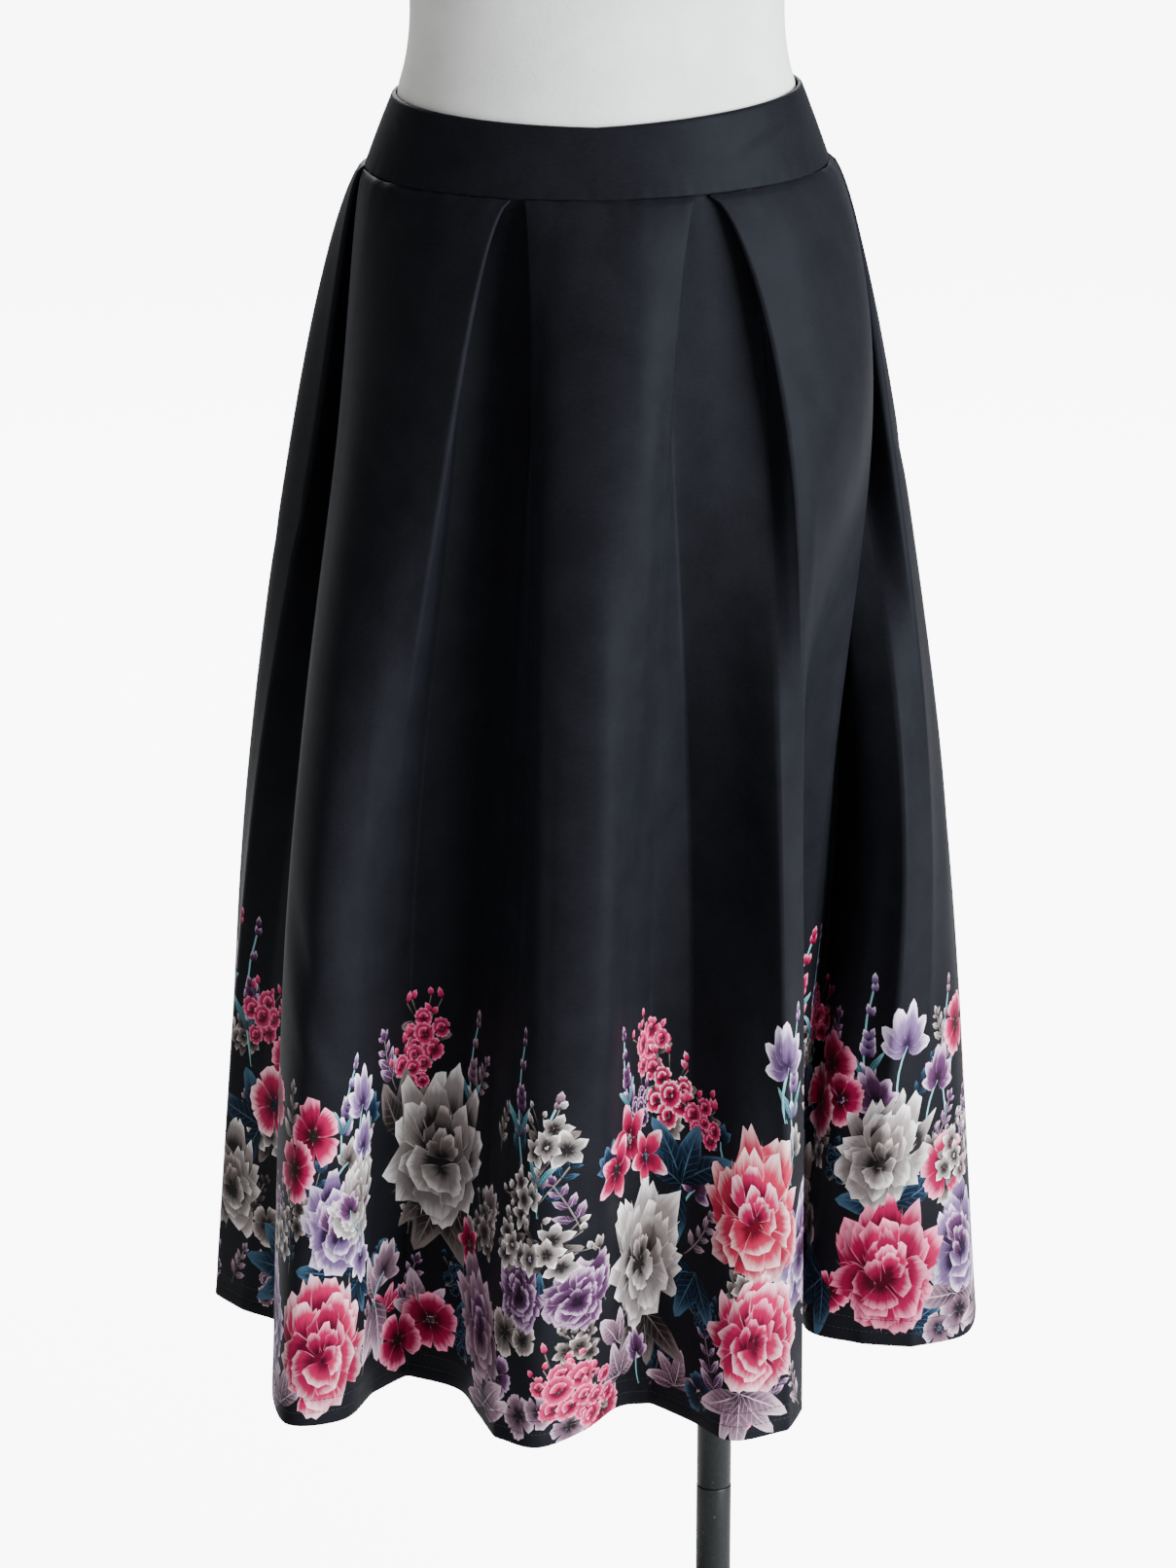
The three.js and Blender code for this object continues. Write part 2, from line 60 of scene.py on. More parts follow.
HEM_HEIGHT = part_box("skirt_front")[0].z / MM
SKIRT_DROP = 770          # waist seam to hem
BAND_HEIGHT = 41          # waist seam to the top of the band at the front
SEAM_GAP = 0.3
SEAM_HEIGHT = HEM_HEIGHT + SKIRT_DROP
BAND_TOP = SEAM_HEIGHT + BAND_HEIGHT
SEAM = {"half_width": 139.5, "half_depth": 100, "back_rise": 5, "right_rise": 2}
BAND = {"half_width": 122, "half_depth": 87.5, "side_rise": 5, "right_rise": 3}
CLOTH = 1.2               # thickness of one layer
HEM_ALLOWANCE = 20
HEM_WALL = 2.2            # the hem's double cloth
FOLD_DEPTH = 24           # each of a pleat's two overlaps at the seam
PLEAT_GAP = 10            # between a pleat's two edges at the seam
LAYER_PITCH = 1.9         # from one layer of the folded cloth to the next
HEM_CLOTH = 1820          # flat width of all the cloth at the hem
FRONT_SHIFT = 8           # how far the front centre has turned round the waist, to the right
BOX_LEAD = 30             # from a box's edge to its leading or trailing line
SIDE_SEAM = 430           # flat distance at the hem from the front centre to each side seam
HIP_DROP = 159
KNEE_DROP = 439
OPENING_EASE = 0.6        # below 1, the pleats open quickly under the seam

# The cloth, going round from the front centre towards the right. A box has three lines in its length:
# leading, middle and trailing. A pleat has five: edge, inner fold, middle, inner fold and edge.
# seam is a box's width at the seam. hip, knee and hem give where each line lies in plan, as [x, y].
PANELS = [
    {
        "name": "front box", "seam": 100,
        "hip": [[-25, -135], [2, -141], [28, -136]],
        "knee": [[-27, -160], [6, -157], [19, -130]],
        "hem": [[-36, -182], [-8, -158], [12, -126]],
    },
    {
        "name": "front right pleat",
        "hip": [[42, -120], [45, -98], [72, -92], [102, -87], [117, -102]],
        "knee": [[34, -106], [58, -98], [87, -116], [113, -137], [126, -112]],
        "hem": [[34, -120], [58, -143], [84, -172], [119, -157], [129, -127]],
    },
    {
        "name": "right front box", "seam": 124,
        "hip": [[141, -80], [159, -50], [167, -23]],
        "knee": [[113, -82], [105, -47], [117, -16]],
        "hem": [[113, -94], [98, -60], [99, -22]],
    },
    {
        "name": "right side pleat",
        "hip": [[169, 4], [152, 22], [148, 46], [160, 58], [179, 36]],
        "knee": [[143, -4], [152, 22], [166, -8], [194, -28], [212, -6]],
        "hem": [[119, 4], [133, 31], [139, -13], [172, -31], [205, -36]],
    },
    {
        "name": "right back box", "seam": 124,
        "hip": [[184, 64], [171, 92], [147, 112]],
        "knee": [[223, 30], [223, 67], [206, 98]],
        "hem": [[240, -18], [250, 22], [247, 63]],
    },
    {
        "name": "back right pleat",
        "hip": [[116, 122], [112, 98], [83, 92], [54, 97], [48, 124]],
        "knee": [[180, 120], [154, 125], [122, 112], [90, 120], [65, 140]],
        "hem": [[229, 100], [200, 117], [161, 113], [123, 110], [91, 122]],
    },
    {
        "name": "back box", "seam": 101,
        "hip": [[28, 136], [0, 142], [-27, 137]],
        "knee": [[39, 160], [9, 170], [-24, 163]],
        "hem": [[64, 144], [36, 170], [2, 187]],
    },
    {
        "name": "back left pleat",
        "hip": [[-47, 125], [-52, 99], [-82, 91], [-112, 96], [-119, 120]],
        "knee": [[-50, 145], [-67, 122], [-92, 104], [-125, 105], [-152, 120]],
        "hem": [[-31, 182], [-57, 161], [-83, 130], [-117, 108], [-151, 113]],
    },
    {
        "name": "left back box", "seam": 124,
        "hip": [[-149, 110], [-174, 86], [-187, 52]],
        "knee": [[-186, 118], [-214, 96], [-227, 64]],
        "hem": [[-190, 130], [-227, 118], [-248, 84]],
    },
    {
        "name": "left side pleat",
        "hip": [[-172, 20], [-146, 38], [-130, 16], [-136, -8], [-157, -18]],
        "knee": [[-221, 34], [-196, 18], [-178, -12], [-178, -46], [-188, -72]],
        "hem": [[-252, 46], [-233, 21], [-205, -2], [-199, -40], [-205, -73]],
    },
    {
        "name": "left front box", "seam": 124,
        "hip": [[-155, -47], [-143, -78], [-119, -103]],
        "knee": [[-189, -108], [-172, -141], [-146, -137]],
        "hem": [[-205, -113], [-193, -150], [-159, -142]],
    },
    {
        "name": "front left pleat",
        "hip": [[-91, -115], [-86, -90], [-62, -83], [-41, -97], [-38, -119]],
        "knee": [[-129, -114], [-113, -87], [-80, -92], [-58, -116], [-46, -142]],
        "hem": [[-142, -104], [-121, -80], [-88, -99], [-74, -136], [-63, -167]],
    },
]


# ---------- how the cloth hangs ----------

SEAM_STEPS = 720


def seam_distances():
    """Distances round the waist seam, from the front centre to the right, at equal steps of angle."""
    angle = (np.arange(SEAM_STEPS) + 0.5) / SEAM_STEPS * 2 * np.pi
    across, along = SEAM["half_width"] * np.cos(angle), SEAM["half_depth"] * np.sin(angle)
    return np.concatenate([[0], np.cumsum(np.hypot(across, along) * 2 * np.pi / SEAM_STEPS)])


SEAM_DISTANCES = seam_distances()
SEAM_ROUND = SEAM_DISTANCES[-1]


def on_seam(distance, outward):
    """The point at a distance round the seam, moved outward."""
    turns = np.linspace(0, 2 * np.pi, SEAM_STEPS + 1)
    angle = np.interp((distance + FRONT_SHIFT) % SEAM_ROUND, SEAM_DISTANCES, turns)
    normal = np.array([np.sin(angle) / SEAM["half_width"], -np.cos(angle) / SEAM["half_depth"]])
    place = np.array([SEAM["half_width"] * np.sin(angle), -SEAM["half_depth"] * np.cos(angle)])
    return place + normal / np.linalg.norm(normal) * outward


def seam_lines(panel, edge, cloth):
    """Where each line of a panel lies round the seam, the cloth before it, and its layers: 1 is the
    outer one, 0 the return and -1 the underlay. A fold has two layers, one on each side of it."""
    if panel.get("seam"):
        width = panel["seam"]
        places = [(BOX_LEAD, [1]), (width / 2, [0]), (width - BOX_LEAD, [1])]
        return [(edge + place, cloth + place, layers) for place, layers in places]
    far = edge + PLEAT_GAP
    half = 2 * FOLD_DEPTH + PLEAT_GAP / 2
    return [
        (edge, cloth, [1, 0]),
        (edge - FOLD_DEPTH, cloth + FOLD_DEPTH, [0, -1]),
        (edge + PLEAT_GAP / 2, cloth + half, [-1]),
        (far + FOLD_DEPTH, cloth + 2 * half - FOLD_DEPTH, [-1, 0]),
        (far, cloth + 2 * half, [0, 1]),
    ]


def guide_lines():
    """The lines that run from the seam to the hem: their cloth distances, and their places in plan at the
    seam, the hip, the knee and the hem. Each fold gives two lines, a little apart on the cloth."""
    boxes = [panel["seam"] for panel in PANELS if panel.get("seam")]
    pleat_cloth = 4 * FOLD_DEPTH + PLEAT_GAP
    spread = HEM_CLOTH / (sum(boxes) + len(boxes) * pleat_cloth)
    round_scale = SEAM_ROUND / (sum(boxes) + len(boxes) * PLEAT_GAP)
    turn = math.pi * LAYER_PITCH / 4
    rows = []
    edge = cloth = -PANELS[0]["seam"] / 2
    for panel in PANELS:
        for index, (at, before, layers) in enumerate(seam_lines(panel, edge, cloth)):
            levels = np.array([panel[level][index] for level in ("hip", "knee", "hem")], float)
            rows.append((at, before, layers, levels))
        edge += panel.get("seam") or PLEAT_GAP
        cloth += panel.get("seam") or pleat_cloth
    distances, places = [], []
    for index, (at, before, layers, levels) in enumerate(rows):
        along = rows[(index + 1) % len(rows)][3] - rows[index - 1][3]
        along /= np.linalg.norm(along, axis=1)[:, None]
        for side, layer in enumerate(layers):
            reach = 0 if len(layers) == 1 else (2 * side - 1) * turn
            distances.append((before + reach) * spread)
            seam = on_seam(at * round_scale, layer * LAYER_PITCH)
            places.append([seam, *(levels + along * reach * spread)])
    return np.array(distances), np.array(places), spread


LINE_CLOTH, LINE_PLACES, SPREAD = guide_lines()
LINES = len(LINE_CLOTH)
LEVELS = np.array([0, HIP_DROP / SKIRT_DROP, KNEE_DROP / SKIRT_DROP, 1]) ** OPENING_EASE


def line_slopes():
    """How fast each line moves in plan at its four levels, by the eased way down."""
    slopes = []
    for low, high in ((0, 1), (0, 2), (1, 3), (2, 3)):
        slopes.append((LINE_PLACES[:, high] - LINE_PLACES[:, low]) / (LEVELS[high] - LEVELS[low]))
    return np.stack(slopes, 1)


LINE_SLOPES = line_slopes()


def hermite(part, width, start, start_slope, end, end_slope):
    """A smooth curve between two points with their slopes, at parts of the way."""
    part, width = part[:, None], width[:, None]
    square, cube = part ** 2, part ** 3
    return ((2 * cube - 3 * square + 1) * start + (cube - 2 * square + part) * width * start_slope
            + (3 * square - 2 * cube) * end + (cube - square) * width * end_slope)


def line_places(index, down):
    """Where lines lie in plan at shares of the way down."""
    places, slopes = LINE_PLACES[index % LINES], LINE_SLOPES[index % LINES]
    eased = down ** OPENING_EASE
    span = np.clip(np.searchsorted(LEVELS, eased) - 1, 0, 2)
    width = LEVELS[span + 1] - LEVELS[span]
    row = np.arange(len(span))
    return hermite((eased - LEVELS[span]) / width, width, places[row, span], slopes[row, span],
                   places[row, span + 1], slopes[row, span + 1])


def cloth_plan(cloth, down):
    """The middle of the cloth in plan: a closed smooth curve through the lines at each level."""
    wrapped = LINE_CLOTH[0] + (cloth - LINE_CLOTH[0]) % HEM_CLOTH
    index = np.searchsorted(LINE_CLOTH, wrapped, side="right") - 1
    near = [index + step for step in (-1, 0, 1, 2)]
    before, start, end, after = (line_places(line, down) for line in near)
    at = [LINE_CLOTH[line % LINES] + HEM_CLOTH * (line // LINES) for line in near]
    start_slope = (end - before) / (at[2] - at[0])[:, None]
    end_slope = (after - start) / (at[3] - at[1])[:, None]
    width = at[2] - at[1]
    return hermite((wrapped - at[1]) / width, width, start, start_slope, end, end_slope)


def seam_height(x, y):
    """Height of the waist seam, which rises to the back and a little to the right."""
    back = (y / SEAM["half_depth"] + 1) / 2
    return SEAM_HEIGHT + SEAM["back_rise"] * back + SEAM["right_rise"] * x / SEAM["half_width"]


def smooth_hang(cloth, down):
    """Points on the middle of the cloth, with no creases."""
    seam = cloth_plan(cloth, np.zeros(len(cloth)))
    top = seam_height(seam[:, 0], seam[:, 1]) - SEAM_GAP
    plan = cloth_plan(cloth, down)
    return np.column_stack([plan, top + (HEM_HEIGHT - top) * down])


# Soft creases, each a trough (depth below 0) or a ridge. at is [cloth from the front centre, drop below the
# seam], lean is how far its lower end swings to the right, in degrees, and across its half width.
CREASES = [
    {"at": [-262, 175], "length": 46, "across": 9, "lean": 58, "depth": -1.6},
    {"at": [-250, 195], "length": 34, "across": 8, "lean": 66, "depth": 1.1},
    {"at": [-300, 480], "length": 90, "across": 12, "lean": 28, "depth": -2.0},
    {"at": [-284, 530], "length": 70, "across": 10, "lean": 40, "depth": 1.4},
    {"at": [-30, 420], "length": 330, "across": 7, "lean": 0, "depth": -1.1},
    {"at": [-48, 300], "length": 200, "across": 12, "lean": -2, "depth": 1.0},
    {"at": [10, 250], "length": 170, "across": 16, "lean": 4, "depth": -0.9},
    {"at": [212, 190], "length": 120, "across": 8, "lean": -2, "depth": -2.2},
    {"at": [224, 200], "length": 130, "across": 9, "lean": 2, "depth": 1.5},
    {"at": [256, 330], "length": 80, "across": 10, "lean": -24, "depth": -1.8},
    {"at": [240, 120], "length": 60, "across": 8, "lean": 34, "depth": -1.2},
    {"at": [252, 460], "length": 140, "across": 12, "lean": -8, "depth": 1.2},
    {"at": [168, 520], "length": 200, "across": 15, "lean": 1, "depth": -1.3},
    {"at": [-214, 620], "length": 180, "across": 13, "lean": 3, "depth": -1.4},
    {"at": [-372, 300], "length": 240, "across": 12, "lean": -2, "depth": 1.3},
    {"at": [-500, 330], "length": 200, "across": 14, "lean": 4, "depth": -1.7},
    {"at": [-548, 520], "length": 170, "across": 12, "lean": -3, "depth": -1.5},
    {"at": [-470, 560], "length": 150, "across": 10, "lean": 5, "depth": 1.4},
    {"at": [472, 600], "length": 260, "across": 9, "lean": -4, "depth": -1.9},
    {"at": [520, 640], "length": 240, "across": 11, "lean": 3, "depth": -1.6},
    {"at": [560, 420], "length": 180, "across": 13, "lean": -3, "depth": 1.5},
    {"at": [585, 210], "length": 70, "across": 9, "lean": 52, "depth": -1.5},
    {"at": [640, 260], "length": 60, "across": 9, "lean": -48, "depth": -1.3},
    {"at": [700, 520], "length": 210, "across": 14, "lean": 2, "depth": -1.4},
    {"at": [836, 330], "length": 260, "across": 12, "lean": -1, "depth": -1.2},
    {"at": [905, 250], "length": 150, "across": 14, "lean": 3, "depth": 1.1},
    {"at": [948, 470], "length": 220, "across": 10, "lean": -3, "depth": -1.5},
    {"at": [1110, 200], "length": 80, "across": 9, "lean": 44, "depth": -1.4},
    {"at": [1168, 420], "length": 230, "across": 13, "lean": -2, "depth": 1.3},
    {"at": [1230, 600], "length": 190, "across": 12, "lean": 3, "depth": -1.6},
    {"at": [1290, 230], "length": 70, "across": 9, "lean": -52, "depth": -1.4},
]
STITCH_HEIGHTS = (8.2, 16.8)      # the hem's two rows of stitches, above the edge
STITCH_DIMPLE = {"depth": 0.22, "half_width": 1.3}
SEAM_PUCKER = {"depth": 0.16, "reach": 9}
HEM_RIPPLE = {"depth": 0.18, "height": 12, "half_width": 9}


def one_crease(crease, side, fall):
    """How far one crease stands out, at places to the side of its middle and along its fall."""
    lean = math.radians(crease["lean"])
    along = fall * math.cos(lean) + side * math.sin(lean)
    across = side * math.cos(lean) - fall * math.sin(lean)
    bell = (across / crease["across"]) ** 2 + (2 * along / crease["length"]) ** 2
    return crease["depth"] * np.exp(-bell)


def crease_depth(cloth, down):
    """How far creases, puckers and stitch rows stand out from the smooth hang."""
    drop, above = down * SKIRT_DROP, (1 - down) * SKIRT_DROP
    narrowing = (1 / SPREAD) + (1 - 1 / SPREAD) * down
    depth = np.zeros(len(cloth))
    for crease in CREASES:
        away = (cloth - crease["at"][0] + HEM_CLOTH / 2) % HEM_CLOTH - HEM_CLOTH / 2
        depth += one_crease(crease, away * narrowing, drop - crease["at"][1])
    pucker = np.sin(cloth / 3.1) + np.sin(cloth / 4.7 + 1)
    depth += SEAM_PUCKER["depth"] * pucker * np.exp(-drop / SEAM_PUCKER["reach"])
    for row in STITCH_HEIGHTS:
        depth -= STITCH_DIMPLE["depth"] * np.exp(-((above - row) / STITCH_DIMPLE["half_width"]) ** 2)
    ripple = np.sin(cloth / 8.3) * np.exp(-((above - HEM_RIPPLE["height"]) / HEM_RIPPLE["half_width"]) ** 2)
    return depth + HEM_RIPPLE["depth"] * ripple


def unit(vectors):
    return vectors / np.linalg.norm(vectors, axis=1)[:, None]


def hang(cloth, down):
    """Points on the middle of the cloth, creases and all, and its outward normals there."""
    step, drop = 0.4, 0.0008      # how far apart the places lie that give the slopes
    low, high = np.maximum(down - drop, 0), np.minimum(down + drop, 1)
    across = smooth_hang(cloth + step, down) - smooth_hang(cloth - step, down)
    along = smooth_hang(cloth, high) - smooth_hang(cloth, low)
    normal = unit(np.cross(along, across))
    place = smooth_hang(cloth, down) + normal * crease_depth(cloth, down)[:, None]
    across += normal * (crease_depth(cloth + step, down) - crease_depth(cloth - step, down))[:, None]
    along += normal * (crease_depth(cloth, high) - crease_depth(cloth, low))[:, None]
    return place, unit(np.cross(along, across))


HEM_TURN = HEM_WALL / 2           # radius of the turned hem's edge
HEM_ARC = math.pi * HEM_TURN


def outer_face(cloth, height):
    """Points and normals on the printed face, by height above the hem's edge. Below 0 the cloth is turned
    under: round the edge first, and then up the inside."""
    turned = -np.minimum(height, 0)
    angle = np.minimum(turned / HEM_TURN, math.pi)
    inside = np.maximum(turned - HEM_ARC, 0)
    down = 1 - (np.maximum(height, 0) + inside) / SKIRT_DROP
    middle, normal = hang(cloth, down)
    reach = np.where(height >= 0, CLOTH / 2, CLOTH / 2 - HEM_TURN + HEM_TURN * np.cos(angle))
    place = middle + normal * reach[:, None]
    place[:, 2] -= HEM_TURN * np.sin(angle)
    facing = normal * np.cos(angle)[:, None]
    facing[:, 2] -= np.sin(angle)
    return place, unit(facing)


def inner_face(cloth, down):
    """Points and normals on the reverse."""
    middle, normal = hang(cloth, down)
    return middle - normal * CLOTH / 2, -normal


# ---------- the floral border ----------

# Each tone is a petal's colour at its base, its middle and its tip.
TONES = {
    "coral": ("4c021e", "a41a48", "ffccd8"),
    "salmon": ("560618", "ae2846", "ffd2d2"),
    "rose": ("38020f", "8c0e3c", "f292b0"),
    "blush": ("5a0624", "b02a58", "ea86a8"),
    "pearl": ("1f1b1b", "8a817f", "f6f0ee"),
    "ash": ("181413", "605755", "c4b8b6"),
    "lilac": ("1e0e28", "6a527a", "e6d8ee"),
    "mauve": ("1c1019", "68505e", "bca4b2"),
    "plum": ("1a081a", "4a2a4a", "c8aac8"),
    "teal": ("03070e", "0e1c2c", "3c5a70"),
    "slate": ("080606", "221d1c", "6c6260"),
    "stem": ("10242c", "2c5660", "70a0a8"),
}
REPEAT = 910                      # the border's repeat along the hem, twice round the skirt
BORDER_TOP = 282
PETAL, SMALL_PETAL, LEAF, STEM = 0.0, 0.1, 0.5, 1.0
PETAL_STEPS = (0.0, 0.2, 0.45, 0.73, 1.0)
SMALL_STEPS = (0.0, 0.4, 0.9)
TINY_STEPS = (0.0, 1.0)
SMALL, TINY = 13, 9               # shorter petals than these are drawn with fewer corners
SHOULDER = 0.78                   # where along a petal its sides end and its tip begins
UNDRAWN = 0.65                    # how much of a petal's hidden part is left out


def linear(code):
    """A colour written as six hex digits, in linear light."""
    parts = np.array([int(code[start:start + 2], 16) / 255 for start in (0, 2, 4)])
    return np.where(parts <= 0.04045, parts / 12.92, ((parts + 0.055) / 1.055) ** 2.4)


def breadth(along, tip):
    """Half width of a petal at a share of its length, as a share of its greatest."""
    along = np.clip(along, 0, 1)
    if tip == "pointed":
        return np.maximum(np.sin(np.pi * along ** 0.85), 0) ** 0.85
    return np.minimum(1.0, 0.14 + 1.2 * along ** 0.8)


class Border:
    """Petals, leaves and stems in the order in which they are laid down. The last one lies on top."""

    def __init__(self):
        self.outlines, self.petals = [], []

    def add(self, outline, base, tip, width, bend, tones, shade, kind, hidden, pointed):
        """hidden is the share of the petal's length, from its base, that its neighbours cover."""
        base, tip = np.array(base, float), np.array(tip, float)
        length = np.linalg.norm(tip - base)
        self.outlines.append(np.array(outline, float))
        self.petals.append({
            "base": base, "way": (tip - base) / length, "length": length, "width": width,
            "bend": bend * length / width, "hidden": hidden, "kind": kind, "pointed": pointed,
            "colours": [np.clip(linear(tone) * shade, 0, 1) for tone in TONES[tones]],
        })

    def on_top(self, owners, middles):
        """The topmost petal over each triangle, or -1. A petal counts only where its own extent reaches."""
        lows = np.array([outline.min(axis=0) for outline in self.outlines])
        highs = np.array([outline.max(axis=0) for outline in self.outlines])
        top = np.array([max(owner, default=-1) for owner in owners])
        within = ((lows[top] <= middles) & (middles <= highs[top])).all(axis=1)
        for face in np.flatnonzero((top >= 0) & ~within):
            under = [owner for owner in owners[face]
                     if (lows[owner] <= middles[face]).all() and (middles[face] <= highs[owner]).all()]
            top[face] = max(under, default=-1)
        return top

    def shading(self, owner, points):
        """For points in the petals of those numbers: places from base to tip and from side to side, and the
        colours of base, middle and tip. The fourth figure of each colour holds a fact: whether there is
        print, its kind, and a number of the petal's own."""
        own = {fact: np.array([petal[fact] for petal in self.petals])[owner] for fact in self.petals[0]}
        away, way = points - own["base"], own["way"]
        along = (away * way).sum(axis=1) / own["length"]
        side = (away[:, 1] * way[:, 0] - away[:, 0] * way[:, 1]) / own["width"]
        across = side - own["bend"] * along ** 2
        half = np.where(own["pointed"], breadth(along, "pointed"), breadth(along, "notched"))
        ripe = (along - own["hidden"]) / (1 - own["hidden"])
        facts = [owner >= 0, own["kind"], (owner * 0.618) % 1]
        colours = [np.column_stack([own["colours"][:, stop], facts[stop]]) for stop in range(3)]
        return np.column_stack([ripe, across / np.maximum(half, 0.1)]), colours


def turned(direction, degrees):
    """A direction turned to the left."""
    angle = math.radians(degrees)
    cos, sin = math.cos(angle), math.sin(angle)
    return np.array([direction[0] * cos - direction[1] * sin, direction[0] * sin + direction[1] * cos])


def crown(draw, at, tip, length, peak):
    """The corners of a petal's tip, from side to side. at gives a place along and across the petal."""
    if tip == "pointed":
        return [at(0.9, -0.42), at(1.0, 0), at(0.9, 0.42)] if length >= SMALL else [at(1.0, 0)]
    if tip == "round":
        angles = (-1.15, -0.6, 0, 0.6, 1.15) if length >= SMALL else (-0.8, 0, 0.8)
        return [at(SHOULDER + (1 - SHOULDER) * math.cos(angle), math.sin(angle)) for angle in angles]
    if length < TINY:
        return [at(0.99, -0.5), at(0.9, draw.uniform(-0.1, 0.1)), at(1.0, 0.5)]
    teeth = draw.choice((5, 7, 7, 9)) if length >= SMALL else 5
    cleft = draw.randrange(1, teeth, 2)
    corners = []
    for tooth in range(teeth):
        across = -0.94 + 1.88 * tooth / (teeth - 1)
        notch = (0.13 if tooth == cleft else 0.05) * draw.uniform(0.4, 1.3) if tooth % 2 else 0
        corners.append(at(1.0 - peak * across ** 2 - notch + draw.uniform(-0.02, 0.02), across))
    return corners


def petal(border, draw, base, direction, length, width, tones, tip="notched", bend=0.0, shade=1.0,
          peak=0.2, hidden=0.0, kind=PETAL):
    """One petal or leaf from its base. tip is notched, round or pointed. bend swings its end sideways, and
    peak is how far the tip's middle stands above its sides. Most of the hidden share isn't drawn."""
    base, direction = np.array(base, float), np.array(direction, float)
    side = np.array([-direction[1], direction[0]])

    def at(along, across):
        return base + direction * length * along + side * (across * width + bend * length * along ** 2)

    first = UNDRAWN * hidden
    if length >= SMALL:
        shares = PETAL_STEPS
    elif length >= TINY or tip == "pointed":
        shares = SMALL_STEPS
    else:
        shares = TINY_STEPS
    steps = [first + (SHOULDER - first) * share for share in shares]
    left = [at(along, -breadth(along, tip) * draw.uniform(0.93, 1.05)) for along in steps]
    right = [at(along, breadth(along, tip) * draw.uniform(0.93, 1.05)) for along in steps]
    outline = left + crown(draw, at, tip, length, peak) + right[::-1]
    if kind == PETAL and length < SMALL:
        kind = SMALL_PETAL
    border.add(outline, base, at(1.0, 0) - side * bend * length, width, bend, tones, shade, kind, hidden,
               tip == "pointed")


# A peony's petals, from the back ones to the heart. turn is how far each leans from the flower's top, reach
# and width are shares of the flower's radius, and heart marks the petals in the heart's own tone.
PEONY_PETALS = [
    {"turn": -80, "reach": 0.98, "width": 0.27, "hidden": 0.30, "bend": 0.18},
    {"turn": 76, "reach": 1.02, "width": 0.26, "hidden": 0.42, "bend": -0.20},
    {"turn": -52, "reach": 1.06, "width": 0.28, "hidden": 0.46, "bend": 0.16},
    {"turn": 48, "reach": 1.14, "width": 0.28, "hidden": 0.36, "bend": -0.14},
    {"turn": -27, "reach": 1.24, "width": 0.27, "hidden": 0.50, "bend": 0.10},
    {"turn": 22, "reach": 1.20, "width": 0.26, "hidden": 0.46, "bend": -0.10},
    {"turn": -3, "reach": 1.28, "width": 0.28, "hidden": 0.54, "bend": 0.02},
    {"turn": -106, "reach": 0.92, "width": 0.30, "hidden": 0.36, "bend": -0.16},
    {"turn": 104, "reach": 0.98, "width": 0.30, "hidden": 0.30, "bend": 0.18},
    {"turn": -132, "reach": 0.98, "width": 0.34, "hidden": 0.42, "bend": -0.20},
    {"turn": 136, "reach": 0.90, "width": 0.34, "hidden": 0.34, "bend": 0.16},
    {"turn": -160, "reach": 1.04, "width": 0.33, "hidden": 0.46, "bend": -0.10},
    {"turn": 166, "reach": 0.94, "width": 0.36, "hidden": 0.30, "bend": 0.10},
    {"turn": -64, "reach": 0.76, "width": 0.25, "hidden": 0.36, "bend": 0.20},
    {"turn": 60, "reach": 0.84, "width": 0.27, "hidden": 0.26, "bend": -0.22},
    {"turn": -36, "reach": 0.94, "width": 0.26, "hidden": 0.40, "bend": 0.14},
    {"turn": 34, "reach": 0.86, "width": 0.24, "hidden": 0.46, "bend": -0.12},
    {"turn": 4, "reach": 0.96, "width": 0.27, "hidden": 0.40, "bend": -0.06},
    {"turn": -94, "reach": 0.66, "width": 0.29, "hidden": 0.20, "bend": -0.18},
    {"turn": 92, "reach": 0.72, "width": 0.25, "hidden": 0.40, "bend": 0.20},
    {"turn": -146, "reach": 0.78, "width": 0.32, "hidden": 0.30, "bend": -0.16},
    {"turn": 150, "reach": 0.68, "width": 0.33, "hidden": 0.22, "bend": 0.20},
    {"turn": -46, "reach": 0.54, "width": 0.22, "hidden": 0.24, "bend": 0.20, "heart": True},
    {"turn": 30, "reach": 0.62, "width": 0.21, "hidden": 0.30, "bend": -0.16, "heart": True},
    {"turn": -12, "reach": 0.70, "width": 0.21, "hidden": 0.42, "bend": 0.10, "heart": True},
    {"turn": -118, "reach": 0.44, "width": 0.24, "hidden": 0.10, "bend": -0.22},
    {"turn": 112, "reach": 0.52, "width": 0.22, "hidden": 0.26, "bend": 0.20},
    {"turn": 16, "reach": 0.40, "width": 0.15, "hidden": 0.20, "bend": -0.16, "heart": True},
    {"turn": -26, "reach": 0.36, "width": 0.13, "hidden": 0.30, "bend": 0.14, "heart": True},
    {"turn": 176, "reach": 0.56, "width": 0.27, "hidden": 0.10, "bend": 0.10},
    {"turn": 62, "reach": 0.30, "width": 0.13, "hidden": 0.10, "bend": -0.16, "heart": True},
    {"turn": -84, "reach": 0.30, "width": 0.13, "hidden": 0.10, "bend": 0.16, "heart": True},
]
HEARTS = {"coral": "rose", "salmon": "coral", "rose": "rose", "pearl": "ash", "lilac": "plum",
          "mauve": "plum", "plum": "plum"}


